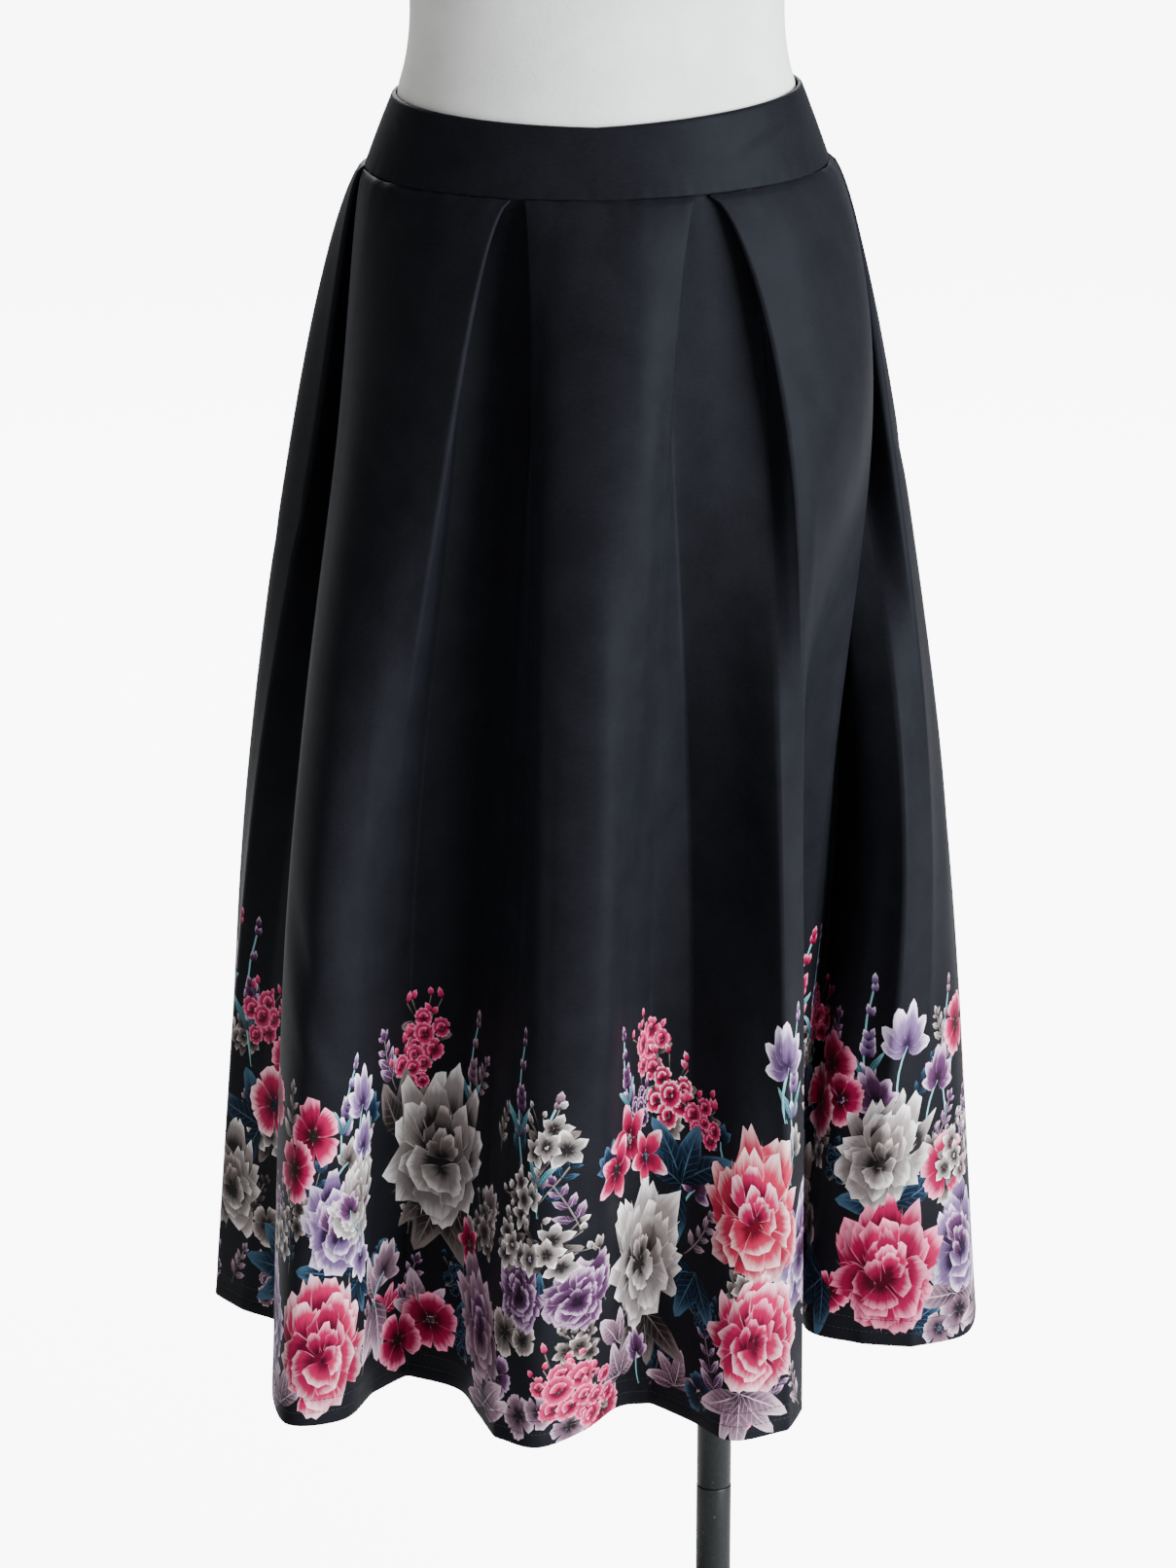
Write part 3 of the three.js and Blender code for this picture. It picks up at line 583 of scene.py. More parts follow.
def peony(border, draw, at, radius, turn, tones):
    """A full ruffled flower, its heart a little below its middle and its upper petals standing tall."""
    middle, up = np.array(at, float), turned((0, 1), turn)
    heart = middle - up * radius * 0.14
    peak = 0.5 if tones in ("pearl", "ash") else 0.34
    ring = [middle + turned(up, 30 * step) * radius * 0.62 for step in range(12)]
    border.add(ring, heart, heart + up * radius, radius, 0, tones, 0.8, PETAL, 0.9, False)
    for row in PEONY_PETALS:
        out = turned(up, row["turn"] + draw.uniform(-11, 11))
        rim = middle + out * radius * row["reach"] * draw.uniform(0.86, 1.08)
        base = heart + out * radius * 0.04 + turned(out, 90) * radius * draw.uniform(-0.12, 0.12)
        length = np.linalg.norm(rim - base)
        width = radius * row["width"] * draw.uniform(0.86, 1.16)
        own_tones = HEARTS[tones] if row.get("heart") else tones
        light = 1.0 if abs(row["turn"]) < 60 else 0.8
        petal(border, draw, base, (rim - base) / length, length, width, own_tones,
              bend=row["bend"] + draw.uniform(-0.1, 0.1), shade=light * draw.uniform(0.7, 1.1),
              peak=peak * draw.uniform(0.6, 1.3), hidden=min(0.6, row["hidden"] * draw.uniform(0.6, 1.3)))


def blossom(border, draw, at, radius, turn, tones, count=5, tip="notched", spread=0.44, hidden=0.12):
    """A small open flower with a few dark threads at its eye."""
    for place in range(count):
        out = turned((0, 1), turn + 360 * place / count + draw.uniform(-7, 7))
        petal(border, draw, np.array(at) + out * radius * 0.06, out, radius * draw.uniform(0.82, 1.05),
              radius * spread, tones, tip=tip, shade=draw.uniform(0.8, 1.08), hidden=hidden)
    if radius > 8:
        for place in range(5):
            out = turned((0, 1), turn + 36 + 72 * place + draw.uniform(-12, 12))
            stem(border, at, np.array(at) + out * radius * 0.26, 0, radius * 0.03, "slate")


def stem(border, start, end, bow, width, tones):
    """A thin stem from start to end that bows to one side."""
    start, end = np.array(start, float), np.array(end, float)
    across = np.array([-(end - start)[1], (end - start)[0]])
    shares = (0.0, 0.25, 0.5, 0.75, 1.0) if bow else (0.0, 1.0)
    line = [start + (end - start) * share + across * bow * 4 * share * (1 - share) for share in shares]
    side = across / np.linalg.norm(across) * width / 2
    outline = [point - side for point in line] + [point + side for point in line[::-1]]
    border.add(outline, start, end, width, 0, tones, 1.0, STEM, 0, False)
    return line


def spray(border, draw, at, height, turn, tones, bow=0.08, buds=7):
    """A tall stem with pointed buds in pairs, small at the top, and slim leaves at its foot."""
    foot, up = np.array(at, float), turned((0, 1), turn)
    top = foot + up * height
    line = stem(border, foot, top, bow, 1.5, "stem")
    for bud in range(buds):
        share = 0.25 + 0.75 * bud / (buds - 1)
        place = line[min(4, round(share * 4))] * 0.5 + (foot + up * height * share) * 0.5
        size = 14 * (1.15 - 0.75 * share)
        for swing in (-1, 1):
            out = turned(up, swing * draw.uniform(24, 48) * (1.1 - share * 0.6))
            petal(border, draw, place, out, size * draw.uniform(0.85, 1.15), size * 0.29, tones,
                  tip="pointed", bend=-0.08 * swing, shade=draw.uniform(0.85, 1.1))
    petal(border, draw, line[-1] - up, up, 9, 2.6, tones, tip="pointed")
    for swing in (-1, 1):
        petal(border, draw, line[1], turned(up, swing * 28), height * 0.3, 2.4, "stem",
              tip="pointed", bend=0.1 * swing, kind=LEAF)


def orchid(border, draw, at, radius, turn, tones):
    """A slim flower with long pointed petals that stand up, and two that fall."""
    middle, up = np.array(at, float), turned((0, 1), turn)
    stem(border, middle - up * radius * 1.3 + turned(up, 90) * radius * 0.25, middle, 0.1, 1.6, "stem")
    for swing, share in ((98, 0.75), (-104, 0.8), (62, 0.9), (-58, 0.86), (24, 1.05), (-16, 1.1)):
        petal(border, draw, middle, turned(up, swing + draw.uniform(-6, 6)), radius * share, radius * 0.27,
              tones, tip="pointed", bend=math.copysign(0.14, -swing), shade=draw.uniform(0.85, 1.1))


def rosette(border, draw, at, radius, turn, tones):
    """A small full rose: outer petals, and two inner ones that close over its eye."""
    blossom(border, draw, at, radius, turn, tones, spread=0.48, hidden=0.3)
    for swing in (-38, 42):
        out = turned((0, 1), turn + swing)
        petal(border, draw, np.array(at) - out * radius * 0.12, out, radius * 0.62, radius * 0.34, tones,
              tip="round", shade=draw.uniform(0.8, 1.0), hidden=0.2)


def cluster(border, draw, at, size, turn, tones, leaf="slate"):
    """Small flowers and buds close together on a short branch: full roses, or pale open stars."""
    middle, up = np.array(at, float), turned((0, 1), turn)
    for side in (-75, 70, 160):
        petal(border, draw, middle, turned(up, side + draw.uniform(-15, 15)), size * 1.2, size * 0.3, leaf,
              tip="pointed", kind=LEAF)
    for _ in range(6):
        place = middle + turned(up, draw.uniform(-75, 75)) * size * draw.uniform(0.85, 1.7)
        stem(border, middle, place, 0, 0.8, leaf)
        out = turned(up, draw.uniform(-50, 50))
        petal(border, draw, place, out, draw.uniform(5, 9), 2.4, tones, tip="pointed")
    stars = tones in ("pearl", "ash")
    blooms = 4 if stars else 6
    for bloom in range(blooms):
        out = turned(up, 360 * bloom / (blooms - 1) + draw.uniform(-25, 25))
        place = middle + out * size * (0.7 if bloom < blooms - 1 else 0.05) * draw.uniform(0.8, 1.2)
        if stars:
            blossom(border, draw, place, size * draw.uniform(0.6, 0.76), draw.uniform(0, 72), tones,
                    tip="pointed", spread=0.34)
        else:
            rosette(border, draw, place, size * draw.uniform(0.38, 0.56), draw.uniform(0, 72), tones)


def sprig(border, draw, at, height, turn, tones):
    """A thin branch with small leaves in pairs and a bud at its end."""
    foot, up = np.array(at, float), turned((0, 1), turn)
    line = stem(border, foot, foot + up * height, draw.uniform(-0.12, 0.12), 1.0, "slate")
    for number, place in enumerate(line[1:]):
        size = height * (0.36 - 0.05 * number) * draw.uniform(0.85, 1.15)
        for swing in (-1, 1):
            petal(border, draw, place, turned(up, swing * draw.uniform(35, 62)), size, size * 0.24, tones,
                  tip="pointed", bend=-0.12 * swing, shade=draw.uniform(0.7, 1.1), kind=LEAF)
    petal(border, draw, line[-1], up, height * 0.26, height * 0.07, tones, tip="pointed")


def leaves(border, draw, at, reach, turns, tones):
    """Broad leaves spread from one place."""
    for turn in turns:
        out = turned((0, 1), turn)
        length = reach * draw.uniform(0.85, 1.12)
        petal(border, draw, at, out, length, length * draw.uniform(0.17, 0.24), tones, tip="pointed",
              bend=draw.uniform(-0.2, 0.2), shade=draw.uniform(0.8, 1.15), kind=LEAF)


# The border's plants, from the ones at the back to the ones in front. at is [along the hem from the front
# centre, above the hem's edge].
PLANTS = [
    {"kind": "spray", "at": [-262, 178], "size": 62, "turn": -12, "tone": "lilac"},
    {"kind": "spray", "at": [-128, 176], "size": 78, "turn": -4, "tone": "mauve"},
    {"kind": "spray", "at": [-52, 178], "size": 84, "turn": 2, "tone": "plum"},
    {"kind": "spray", "at": [-34, 150], "size": 76, "turn": -10, "tone": "mauve"},
    {"kind": "spray", "at": [44, 190], "size": 66, "turn": 16, "tone": "plum"},
    {"kind": "spray", "at": [190, 180], "size": 88, "turn": -6, "tone": "lilac"},
    {"kind": "spray", "at": [238, 150], "size": 82, "turn": 4, "tone": "mauve"},
    {"kind": "spray", "at": [330, 160], "size": 80, "turn": -6, "tone": "lilac"},
    {"kind": "spray", "at": [404, 170], "size": 96, "turn": 3, "tone": "plum"},
    {"kind": "spray", "at": [482, 158], "size": 88, "turn": 4, "tone": "lilac"},
    {"kind": "spray", "at": [550, 150], "size": 84, "turn": -3, "tone": "mauve"},
    {"kind": "spray", "at": [372, 196], "size": 74, "turn": -8, "tone": "rose"},
    {"kind": "cluster", "at": [-170, 238], "size": 17, "turn": 0, "tone": "blush"},
    {"kind": "cluster", "at": [-178, 214], "size": 14, "turn": 10, "tone": "blush"},
    {"kind": "cluster", "at": [-500, 206], "size": 17, "turn": 0, "tone": "blush"},
    {"kind": "cluster", "at": [66, 236], "size": 17, "turn": -8, "tone": "blush"},
    {"kind": "cluster", "at": [84, 206], "size": 19, "turn": 10, "tone": "coral"},
    {"kind": "cluster", "at": [112, 192], "size": 13, "turn": -14, "tone": "blush"},
    {"kind": "cluster", "at": [-28, 196], "size": 17, "turn": 0, "tone": "pearl"},
    {"kind": "cluster", "at": [-48, 160], "size": 15, "turn": 30, "tone": "pearl"},
    {"kind": "cluster", "at": [428, 128], "size": 19, "turn": 0, "tone": "pearl"},
    {"kind": "cluster", "at": [270, 196], "size": 18, "turn": 0, "tone": "pearl"},
    {"kind": "cluster", "at": [586, 120], "size": 16, "turn": 0, "tone": "pearl"},
    {"kind": "cluster", "at": [-296, 146], "size": 15, "turn": 60, "tone": "ash"},
    {"kind": "cluster", "at": [-104, 120], "size": 15, "turn": -20, "tone": "ash"},
    {"kind": "leaves", "at": [-262, 100], "size": 36, "turns": [-60, -20, 30, 75], "tone": "teal"},
    {"kind": "leaves", "at": [-240, 92], "size": 30, "turns": [120, 200, 240], "tone": "teal"},
    {"kind": "leaves", "at": [-156, 138], "size": 52, "turns": [140, 164, 190, 212], "tone": "slate"},
    {"kind": "leaves", "at": [-186, 170], "size": 46, "turns": [-30, 0, 36], "tone": "slate"},
    {"kind": "leaves", "at": [94, 150], "size": 44, "turns": [-50, -15, 20, 60, 160], "tone": "teal"},
    {"kind": "leaves", "at": [60, 66], "size": 44, "turns": [140, 165, 190, 220], "tone": "slate"},
    {"kind": "leaves", "at": [106, 96], "size": 38, "turns": [100, 150, 200], "tone": "teal"},
    {"kind": "leaves", "at": [508, 96], "size": 44, "turns": [-70, -30, 40, 80, 130], "tone": "teal"},
    {"kind": "leaves", "at": [462, 40], "size": 42, "turns": [60, 100, 140, 190], "tone": "teal"},
    {"kind": "leaves", "at": [-492, 132], "size": 44, "turns": [-60, -20, 20, 80, 150], "tone": "teal"},
    {"kind": "leaves", "at": [290, 110], "size": 44, "turns": [-60, -10, 40, 100, 160], "tone": "teal"},
    {"kind": "leaves", "at": [146, 30], "size": 40, "turns": [120, 150, 182, 214, 246], "tone": "mauve"},
    {"kind": "leaves", "at": [30, 22], "size": 30, "turns": [-60, -20, 30, 90], "tone": "mauve"},
    {"kind": "leaves", "at": [-92, 10], "size": 34, "turns": [-80, -40, 60, 90], "tone": "mauve"},
    {"kind": "leaves", "at": [560, 30], "size": 40, "turns": [-90, -50, -10, 40, 90], "tone": "mauve"},
    {"kind": "leaves", "at": [-214, 66], "size": 40, "turns": [-10, 24, 160, 196], "tone": "mauve"},
    {"kind": "orchid", "at": [184, 238], "size": 27, "turn": 6, "tone": "lilac"},
    {"kind": "orchid", "at": [506, 206], "size": 28, "turn": 4, "tone": "lilac"},
    {"kind": "orchid", "at": [486, 168], "size": 22, "turn": 30, "tone": "plum"},
    {"kind": "orchid", "at": [-238, 210], "size": 24, "turn": 8, "tone": "lilac"},
    {"kind": "orchid", "at": [-236, 180], "size": 21, "turn": -20, "tone": "lilac"},
    {"kind": "orchid", "at": [540, 176], "size": 22, "turn": -10, "tone": "plum"},
    {"kind": "orchid", "at": [356, 220], "size": 25, "turn": 0, "tone": "lilac"},
    {"kind": "orchid", "at": [52, 36], "size": 17, "turn": 20, "tone": "plum"},
    {"kind": "orchid", "at": [-204, 82], "size": 20, "turn": -14, "tone": "mauve"},
    {"kind": "blossom", "at": [-286, 196], "size": 24, "turn": 10, "tone": "rose"},
    {"kind": "blossom", "at": [-304, 172], "size": 22, "turn": 44, "tone": "rose"},
    {"kind": "blossom", "at": [38, 182], "size": 25, "turn": 14, "tone": "rose", "slim": True},
    {"kind": "blossom", "at": [20, 166], "size": 22, "turn": 50, "tone": "rose", "slim": True},
    {"kind": "blossom", "at": [62, 166], "size": 21, "turn": 30, "tone": "coral", "slim": True},
    {"kind": "blossom", "at": [444, 184], "size": 24, "turn": 0, "tone": "rose"},
    {"kind": "blossom", "at": [460, 164], "size": 19, "turn": 30, "tone": "rose"},
    {"kind": "blossom", "at": [-480, 150], "size": 26, "turn": 12, "tone": "coral"},
    {"kind": "blossom", "at": [-164, 42], "size": 22, "turn": 0, "tone": "rose"},
    {"kind": "blossom", "at": [-190, 28], "size": 21, "turn": 36, "tone": "rose"},
    {"kind": "blossom", "at": [566, 206], "size": 20, "turn": 20, "tone": "rose"},
    {"kind": "blossom", "at": [-128, 104], "size": 16, "turn": 20, "tone": "rose", "slim": True},
    {"kind": "blossom", "at": [326, 196], "size": 22, "turn": 20, "tone": "rose"},
    {"kind": "blossom", "at": [-360, 118], "size": 24, "turn": 0, "tone": "rose"},
    {"kind": "peony", "at": [-50, 100], "size": 25, "turn": 20, "tone": "plum"},
    {"kind": "peony", "at": [-6, 94], "size": 24, "turn": -30, "tone": "plum"},
    {"kind": "peony", "at": [206, 112], "size": 41, "turn": -40, "tone": "lilac"},
    {"kind": "peony", "at": [-104, 58], "size": 38, "turn": 30, "tone": "mauve"},
    {"kind": "peony", "at": [566, 62], "size": 36, "turn": 20, "tone": "lilac"},
    {"kind": "peony", "at": [-262, 132], "size": 34, "turn": 14, "tone": "lilac"},
    {"kind": "peony", "at": [-246, 146], "size": 28, "turn": -30, "tone": "pearl"},
    {"kind": "peony", "at": [496, 130], "size": 40, "turn": -24, "tone": "pearl"},
    {"kind": "peony", "at": [-156, 158], "size": 50, "turn": -8, "tone": "pearl"},
    {"kind": "peony", "at": [56, 100], "size": 45, "turn": -16, "tone": "pearl"},
    {"kind": "peony", "at": [-516, 84], "size": 36, "turn": 16, "tone": "pearl"},
    {"kind": "peony", "at": [296, 138], "size": 40, "turn": 10, "tone": "pearl"},
    {"kind": "peony", "at": [-274, 52], "size": 45, "turn": -10, "tone": "coral"},
    {"kind": "peony", "at": [156, 142], "size": 46, "turn": 8, "tone": "salmon"},
    {"kind": "peony", "at": [156, 64], "size": 37, "turn": -20, "tone": "coral"},
    {"kind": "peony", "at": [506, 50], "size": 46, "turn": 0, "tone": "rose"},
    {"kind": "peony", "at": [276, 52], "size": 42, "turn": 14, "tone": "coral"},
    {"kind": "cluster", "at": [-16, 34], "size": 18, "turn": 0, "tone": "blush"},
    {"kind": "cluster", "at": [8, 20], "size": 15, "turn": 40, "tone": "blush"},
    {"kind": "cluster", "at": [-60, 128], "size": 15, "turn": 20, "tone": "pearl"},
    {"kind": "cluster", "at": [-26, 126], "size": 17, "turn": -20, "tone": "pearl"},
    {"kind": "cluster", "at": [560, 120], "size": 16, "turn": 0, "tone": "pearl"},
    {"kind": "orchid", "at": [-252, 142], "size": 15, "turn": 40, "tone": "plum"},
    {"kind": "orchid", "at": [-238, 106], "size": 17, "turn": 190, "tone": "lilac"},
]


# Small plants that fill the ground between the large ones: from which height to which, how many in each
# repeat of the border, and what each may be.
FILLERS = [
    {"heights": [6, 56], "count": 46, "kinds": ["sprig", "leaves", "cluster", "sprig", "blossom"],
     "tones": ["mauve", "plum", "teal", "mauve", "rose"]},
    {"heights": [56, 130], "count": 52, "kinds": ["leaves", "cluster", "sprig", "sprig", "blossom"],
     "tones": ["teal", "ash", "mauve", "slate", "ash"]},
    {"heights": [130, 205], "count": 40, "kinds": ["sprig", "sprig", "cluster", "orchid", "sprig"],
     "tones": ["ash", "mauve", "plum", "teal"]},
]
PLANT_REACH = 90                  # no plant reaches further than this to either side of its place
FILLER_SIZES = {"sprig": 34, "leaves": 27, "cluster": 12, "blossom": 15, "orchid": 15}


def filler_plants():
    """One repeat's small plants, spread evenly along the hem and at random heights in their band."""
    plants = []
    draw = random.Random(53)
    for band in FILLERS:
        for place in range(band["count"]):
            choice = draw.randrange(len(band["kinds"]))
            kind = band["kinds"][choice]
            along = REPEAT * (place + draw.uniform(0.2, 0.8)) / band["count"] - REPEAT / 2
            turn = draw.uniform(-40, 40)
            plants.append({"kind": kind, "at": [along, draw.uniform(*band["heights"])],
                           "size": FILLER_SIZES[kind] * draw.uniform(0.8, 1.2), "turn": turn,
                           "turns": [turn - 75, turn - 30, turn + 20, turn + 70],
                           "tone": draw.choice(band["tones"])})
    return plants


def draw_plant(border, draw, plant, at):
    """Draws one row of the tables at a place on the cloth."""
    kind, size, tones = plant["kind"], plant["size"], plant["tone"]
    if kind == "leaves":
        leaves(border, draw, at, size, plant["turns"], tones)
    elif kind == "blossom" and plant.get("slim"):
        blossom(border, draw, at, size, plant["turn"], tones, tip="pointed", spread=0.3)
    else:
        draws = {"peony": peony, "orchid": orchid, "cluster": cluster, "spray": spray, "blossom": blossom,
                 "sprig": sprig}
        draws[kind](border, draw, at, size, plant["turn"], tones)


def seen_plants():
    """All the plants, but for small ones that would lie right behind a peony."""
    peonies = [plant for plant in PLANTS if plant["kind"] == "peony"]
    small = []
    for plant in filler_plants():
        clear = True
        for bloom in peonies:
            across = (plant["at"][0] - bloom["at"][0] + REPEAT / 2) % REPEAT - REPEAT / 2
            away = math.hypot(across, plant["at"][1] - bloom["at"][1])
            clear = clear and away > bloom["size"] * 0.8
        if clear:
            small.append(plant)
    return small + PLANTS


def floral_border(low, high):
    """All the plants whose place is near the cloth from low to high. The two laps round the hem differ a
    little, and each plant looks the same on both cut pieces."""
    border = Border()
    for number, plant in enumerate(seen_plants()):
        for lap in range(-2, 4):
            along = plant["at"][0] + lap * REPEAT
            if low - PLANT_REACH < along < high + PLANT_REACH:
                draw_plant(border, random.Random(97 * number + lap % 2), plant, (along, plant["at"][1]))
    return border


# ---------- the cloth's meshes ----------

def mesh_piece(name, points, faces, normals=None):
    """A mesh object from points in millimetres, with a normal for each point where they are given."""
    mesh = bpy.data.meshes.new(name)
    mesh.from_pydata((np.asarray(points) * MM).tolist(), [], [tuple(face) for face in faces])
    mesh.validate()
    piece = bpy.data.objects.new(name, mesh)
    bpy.context.scene.collection.objects.link(piece)
    mesh.polygons.foreach_set("use_smooth", np.ones(len(mesh.polygons), bool))
    if normals is not None:
        mesh.normals_split_custom_set_from_vertices(np.asarray(normals).tolist())
    return piece


def corner_vertices(piece):
    """The vertex at each corner of each face."""
    vertices = np.zeros(len(piece.data.loops), int)
    piece.data.loops.foreach_get("vertex_index", vertices)
    return vertices


def colour_corners(piece, name, colours):
    layer = piece.data.color_attributes.new(name, "FLOAT_COLOR", "CORNER")
    layer.data.foreach_set("color", np.asarray(colours, np.float32).ravel())


def map_corners(piece, name, places):
    layer = piece.data.uv_layers.new(name=name)
    layer.data.foreach_set("uv", np.asarray(places, np.float32).ravel())


def columns_between(low, high, step):
    """Cloth distances from low to high: each span between lines is cut into steps of about this length."""
    stops = [low]
    for lap in (-1, 0, 1):
        ends = np.append(LINE_CLOTH, LINE_CLOTH[0] + HEM_CLOTH) + lap * HEM_CLOTH
        for start, end in zip(ends[:-1], ends[1:]):
            count = max(3, round((end - start) / step))
            stops.extend(stop for stop in np.linspace(start, end, count, endpoint=False)
                         if low + 0.8 < stop < high - 0.8)
    return np.array(sorted(stops) + [high])


def zip_rows(first, second, first_at, second_at):
    """Triangles between two rows of vertices, which are walked in step by their places along the row."""
    one = two = 0
    faces = []
    while one < len(first) - 1 or two < len(second) - 1:
        next_one = first_at[one + 1] if one < len(first) - 1 else math.inf
        next_two = second_at[two + 1] if two < len(second) - 1 else math.inf
        if next_one <= next_two:
            faces.append((first[one], second[two], first[one + 1]))
            one += 1
        else:
            faces.append((first[one], second[two], second[two + 1]))
            two += 1
    return faces


TOP_ROWS = 62                     # rows of the printed face above the border
BACK_ROWS = 32                    # rows of the reverse
BORDER_STEP = 5.0
TURN_HEIGHTS = tuple(-HEM_ARC * part for part in (0.0, 0.25, 0.5, 0.75, 1.0))
PETAL_LAYERS = ("petal_base", "petal_middle", "petal_tip")


def seen_petals(border):
    """The border as it shows from above: points, the edges between what shows, and a way to look up which
    petal shows at a place."""
    points, faces = [], []
    for outline in border.outlines:
        faces.append(list(range(len(points), len(points) + len(outline))))
        points.extend(outline.tolist())
    found = delaunay_2d_cdt([Vector(point) for point in points], [], faces, 0, 1e-4, True)
    flat, triangles = np.array([tuple(point) for point in found[0]]), np.array(found[2])
    owners = border.on_top(found[5], flat[triangles].mean(axis=1))
    edges = np.sort(np.vstack([triangles[:, [0, 1]], triangles[:, [1, 2]], triangles[:, [2, 0]]]), axis=1)
    order = np.lexsort((edges[:, 1], edges[:, 0]))
    edges, sides = edges[order], np.tile(owners, 3)[order]
    between = (edges[1:] == edges[:-1]).all(axis=1) & (sides[1:] != sides[:-1])
    tree = BVHTree.FromPolygons([(*point, 0) for point in flat.tolist()], triangles.tolist())

    def petal_at(place):
        face = tree.ray_cast(Vector((*place, 1)), Vector((0, 0, -1)))[2]
        return -1 if face is None else owners[face]

    return flat, edges[1:][between], petal_at


def border_faces(low, high, columns):
    """The printed stretch of cloth as triangles on the flat: points, triangles and each triangle's petal."""
    border = floral_border(low, high)
    flat, edges, petal_at = seen_petals(border)
    along = flat[edges][:, :, 0]
    near = ((low - 6 < along) & (along < high + 6)).all(axis=1)
    used, edges = np.unique(edges[near], return_inverse=True)
    points, edges = flat[used].tolist(), edges.reshape(-1, 2).tolist()
    allowance = -HEM_ARC - HEM_ALLOWANCE
    heights = [*np.arange(BORDER_TOP, 0, -BORDER_STEP), *TURN_HEIGHTS, -9, -16, allowance]
    for height in heights:
        start = len(points)
        points.extend([column, height] for column in columns)
        if height == BORDER_TOP or height <= 0:
            edges.extend((start + step, start + step + 1) for step in range(len(columns) - 1))
    for side in (low, high):
        start = len(points)
        points.extend([side, height] for height in heights)
        edges.extend((start + step, start + step + 1) for step in range(len(heights) - 1))
    found = delaunay_2d_cdt([Vector(point) for point in points], edges, [], 0, 1e-4, True)
    flat, triangles = np.array([tuple(point) for point in found[0]]), np.array(found[2])
    middles = flat[triangles].mean(axis=1)
    within = ((low < middles[:, 0]) & (middles[:, 0] < high)
              & (allowance < middles[:, 1]) & (middles[:, 1] < BORDER_TOP))
    kept = triangles[within]
    owners = np.array([petal_at(place) for place in middles[within]])
    used = np.unique(kept)
    renumber = np.full(len(flat), -1)
    renumber[used] = np.arange(len(used))
    return flat[used], renumber[kept], owners, border


def numbered_rows(first, width, count):
    """Vertex numbers of a grid, row by row from the top."""
    return [list(range(first + row * width, first + (row + 1) * width)) for row in range(count)]


def lay_print(piece, border, owner, flat):
    """Keeps each corner's place in its petal, and the petal's colours, for the finish to read."""
    printed = owner >= 0
    in_petal, colours = border.shading(owner[printed], flat[printed])
    every_place = np.zeros((len(owner), 2))
    every_place[printed] = in_petal
    map_corners(piece, "petal", every_place)
    for layer, colour in zip(PETAL_LAYERS, colours):
        every_colour = np.zeros((len(owner), 4))
        every_colour[printed] = colour
        colour_corners(piece, layer, every_colour)


def skirt_cloth(name, low, high):
    """One cut piece of the skirt, as a thin closed shell: the printed face with its turned-up hem, and the
    plain reverse. Its flat cloth is kept as a map, and its petals' colours and places at the corners."""
    columns = columns_between(low, high, BORDER_STEP)
    flat, triangles, owners, border = border_faces(low, high, columns)
    downs = (np.linspace(0, 1, TOP_ROWS + 1) ** 1.15) * (1 - BORDER_TOP / SKIRT_DROP)
    upper = np.array([[column, (1 - down) * SKIRT_DROP] for down in downs[:-1] for column in columns])
    face_flat = np.vstack([upper, flat])
    face_points, face_normals = outer_face(face_flat[:, 0], face_flat[:, 1])
    downs = (np.linspace(0, 1, BACK_ROWS + 1) ** 1.2) * (1 - HEM_ALLOWANCE / SKIRT_DROP)
    back_flat = np.array([[column, (1 - down) * SKIRT_DROP] for down in downs for column in columns])
    back_points, back_normals = inner_face(back_flat[:, 0], 1 - back_flat[:, 1] / SKIRT_DROP)
    points = np.vstack([face_points, back_points])
    face_rows = numbered_rows(0, len(columns), TOP_ROWS)
    back_rows = numbered_rows(len(face_flat), len(columns), BACK_ROWS + 1)

    def on_edge(axis, value, order):
        """The border's vertices along one of its straight edges."""
        chosen = np.flatnonzero(np.abs(flat[:, axis] - value) < 1e-3)
        return list(chosen[np.argsort(flat[chosen, 1 - axis] * order)] + len(upper))

    faces = []
    for above, below in zip(face_rows, face_rows[1:]):
        faces.extend(zip(above, below, below[1:], above[1:]))
    top_edge = on_edge(1, BORDER_TOP, 1)
    faces.extend(zip_rows(face_rows[-1], top_edge, columns, face_flat[top_edge, 0]))
    border_from = len(faces)
    faces.extend(tuple(face) for face in triangles + len(upper))
    for above, below in zip(back_rows, back_rows[1:]):
        faces.extend(zip(above, above[1:], below[1:], below))
    raw_edge = on_edge(1, -HEM_ARC - HEM_ALLOWANCE, 1)
    closing = zip_rows(back_rows[-1], raw_edge, columns, face_flat[raw_edge, 0])
    faces.extend(face[::-1] for face in closing)
    faces.extend(zip(face_rows[0], face_rows[0][1:], back_rows[0][1:], back_rows[0]))
    for side, column in ((low, 0), (high, -1)):
        border_side = on_edge(0, side, -1)
        turned_up = [index for index in border_side if face_flat[index, 1] < TURN_HEIGHTS[2] - 1e-3]
        outside = [row[column] for row in face_rows] + border_side[:len(border_side) - len(turned_up)]
        inside = [row[column] for row in back_rows] + turned_up[::-1]
        closing = zip_rows(outside, inside, -points[outside, 2], -points[inside, 2])
        faces.extend([face[::-1] for face in closing] if column else closing)

    piece = mesh_piece(name, points, faces, np.vstack([face_normals, back_normals]))
    corners = corner_vertices(piece)
    corner_flat = np.vstack([face_flat, back_flat])[corners]
    map_corners(piece, "cloth", corner_flat * MM)
    starts = np.zeros(len(piece.data.polygons), int)
    piece.data.polygons.foreach_get("loop_start", starts)
    owner = np.full(len(corners), -1)
    for corner in range(3):
        owner[starts[border_from:border_from + len(triangles)] + corner] = owners
    lay_print(piece, border, owner, corner_flat)
    return piece


# ---------- hem stitches ----------

STITCH_PITCH = 3.2
STITCH_LENGTH = 2.5
THREAD = 0.24                     # radius of the sewing thread
STITCH_PROFILE = ((-1.0, -0.9), (-0.72, 0.35), (0, 0.75), (0.72, 0.35), (1.0, -0.9))
THREAD_SIDES = 5


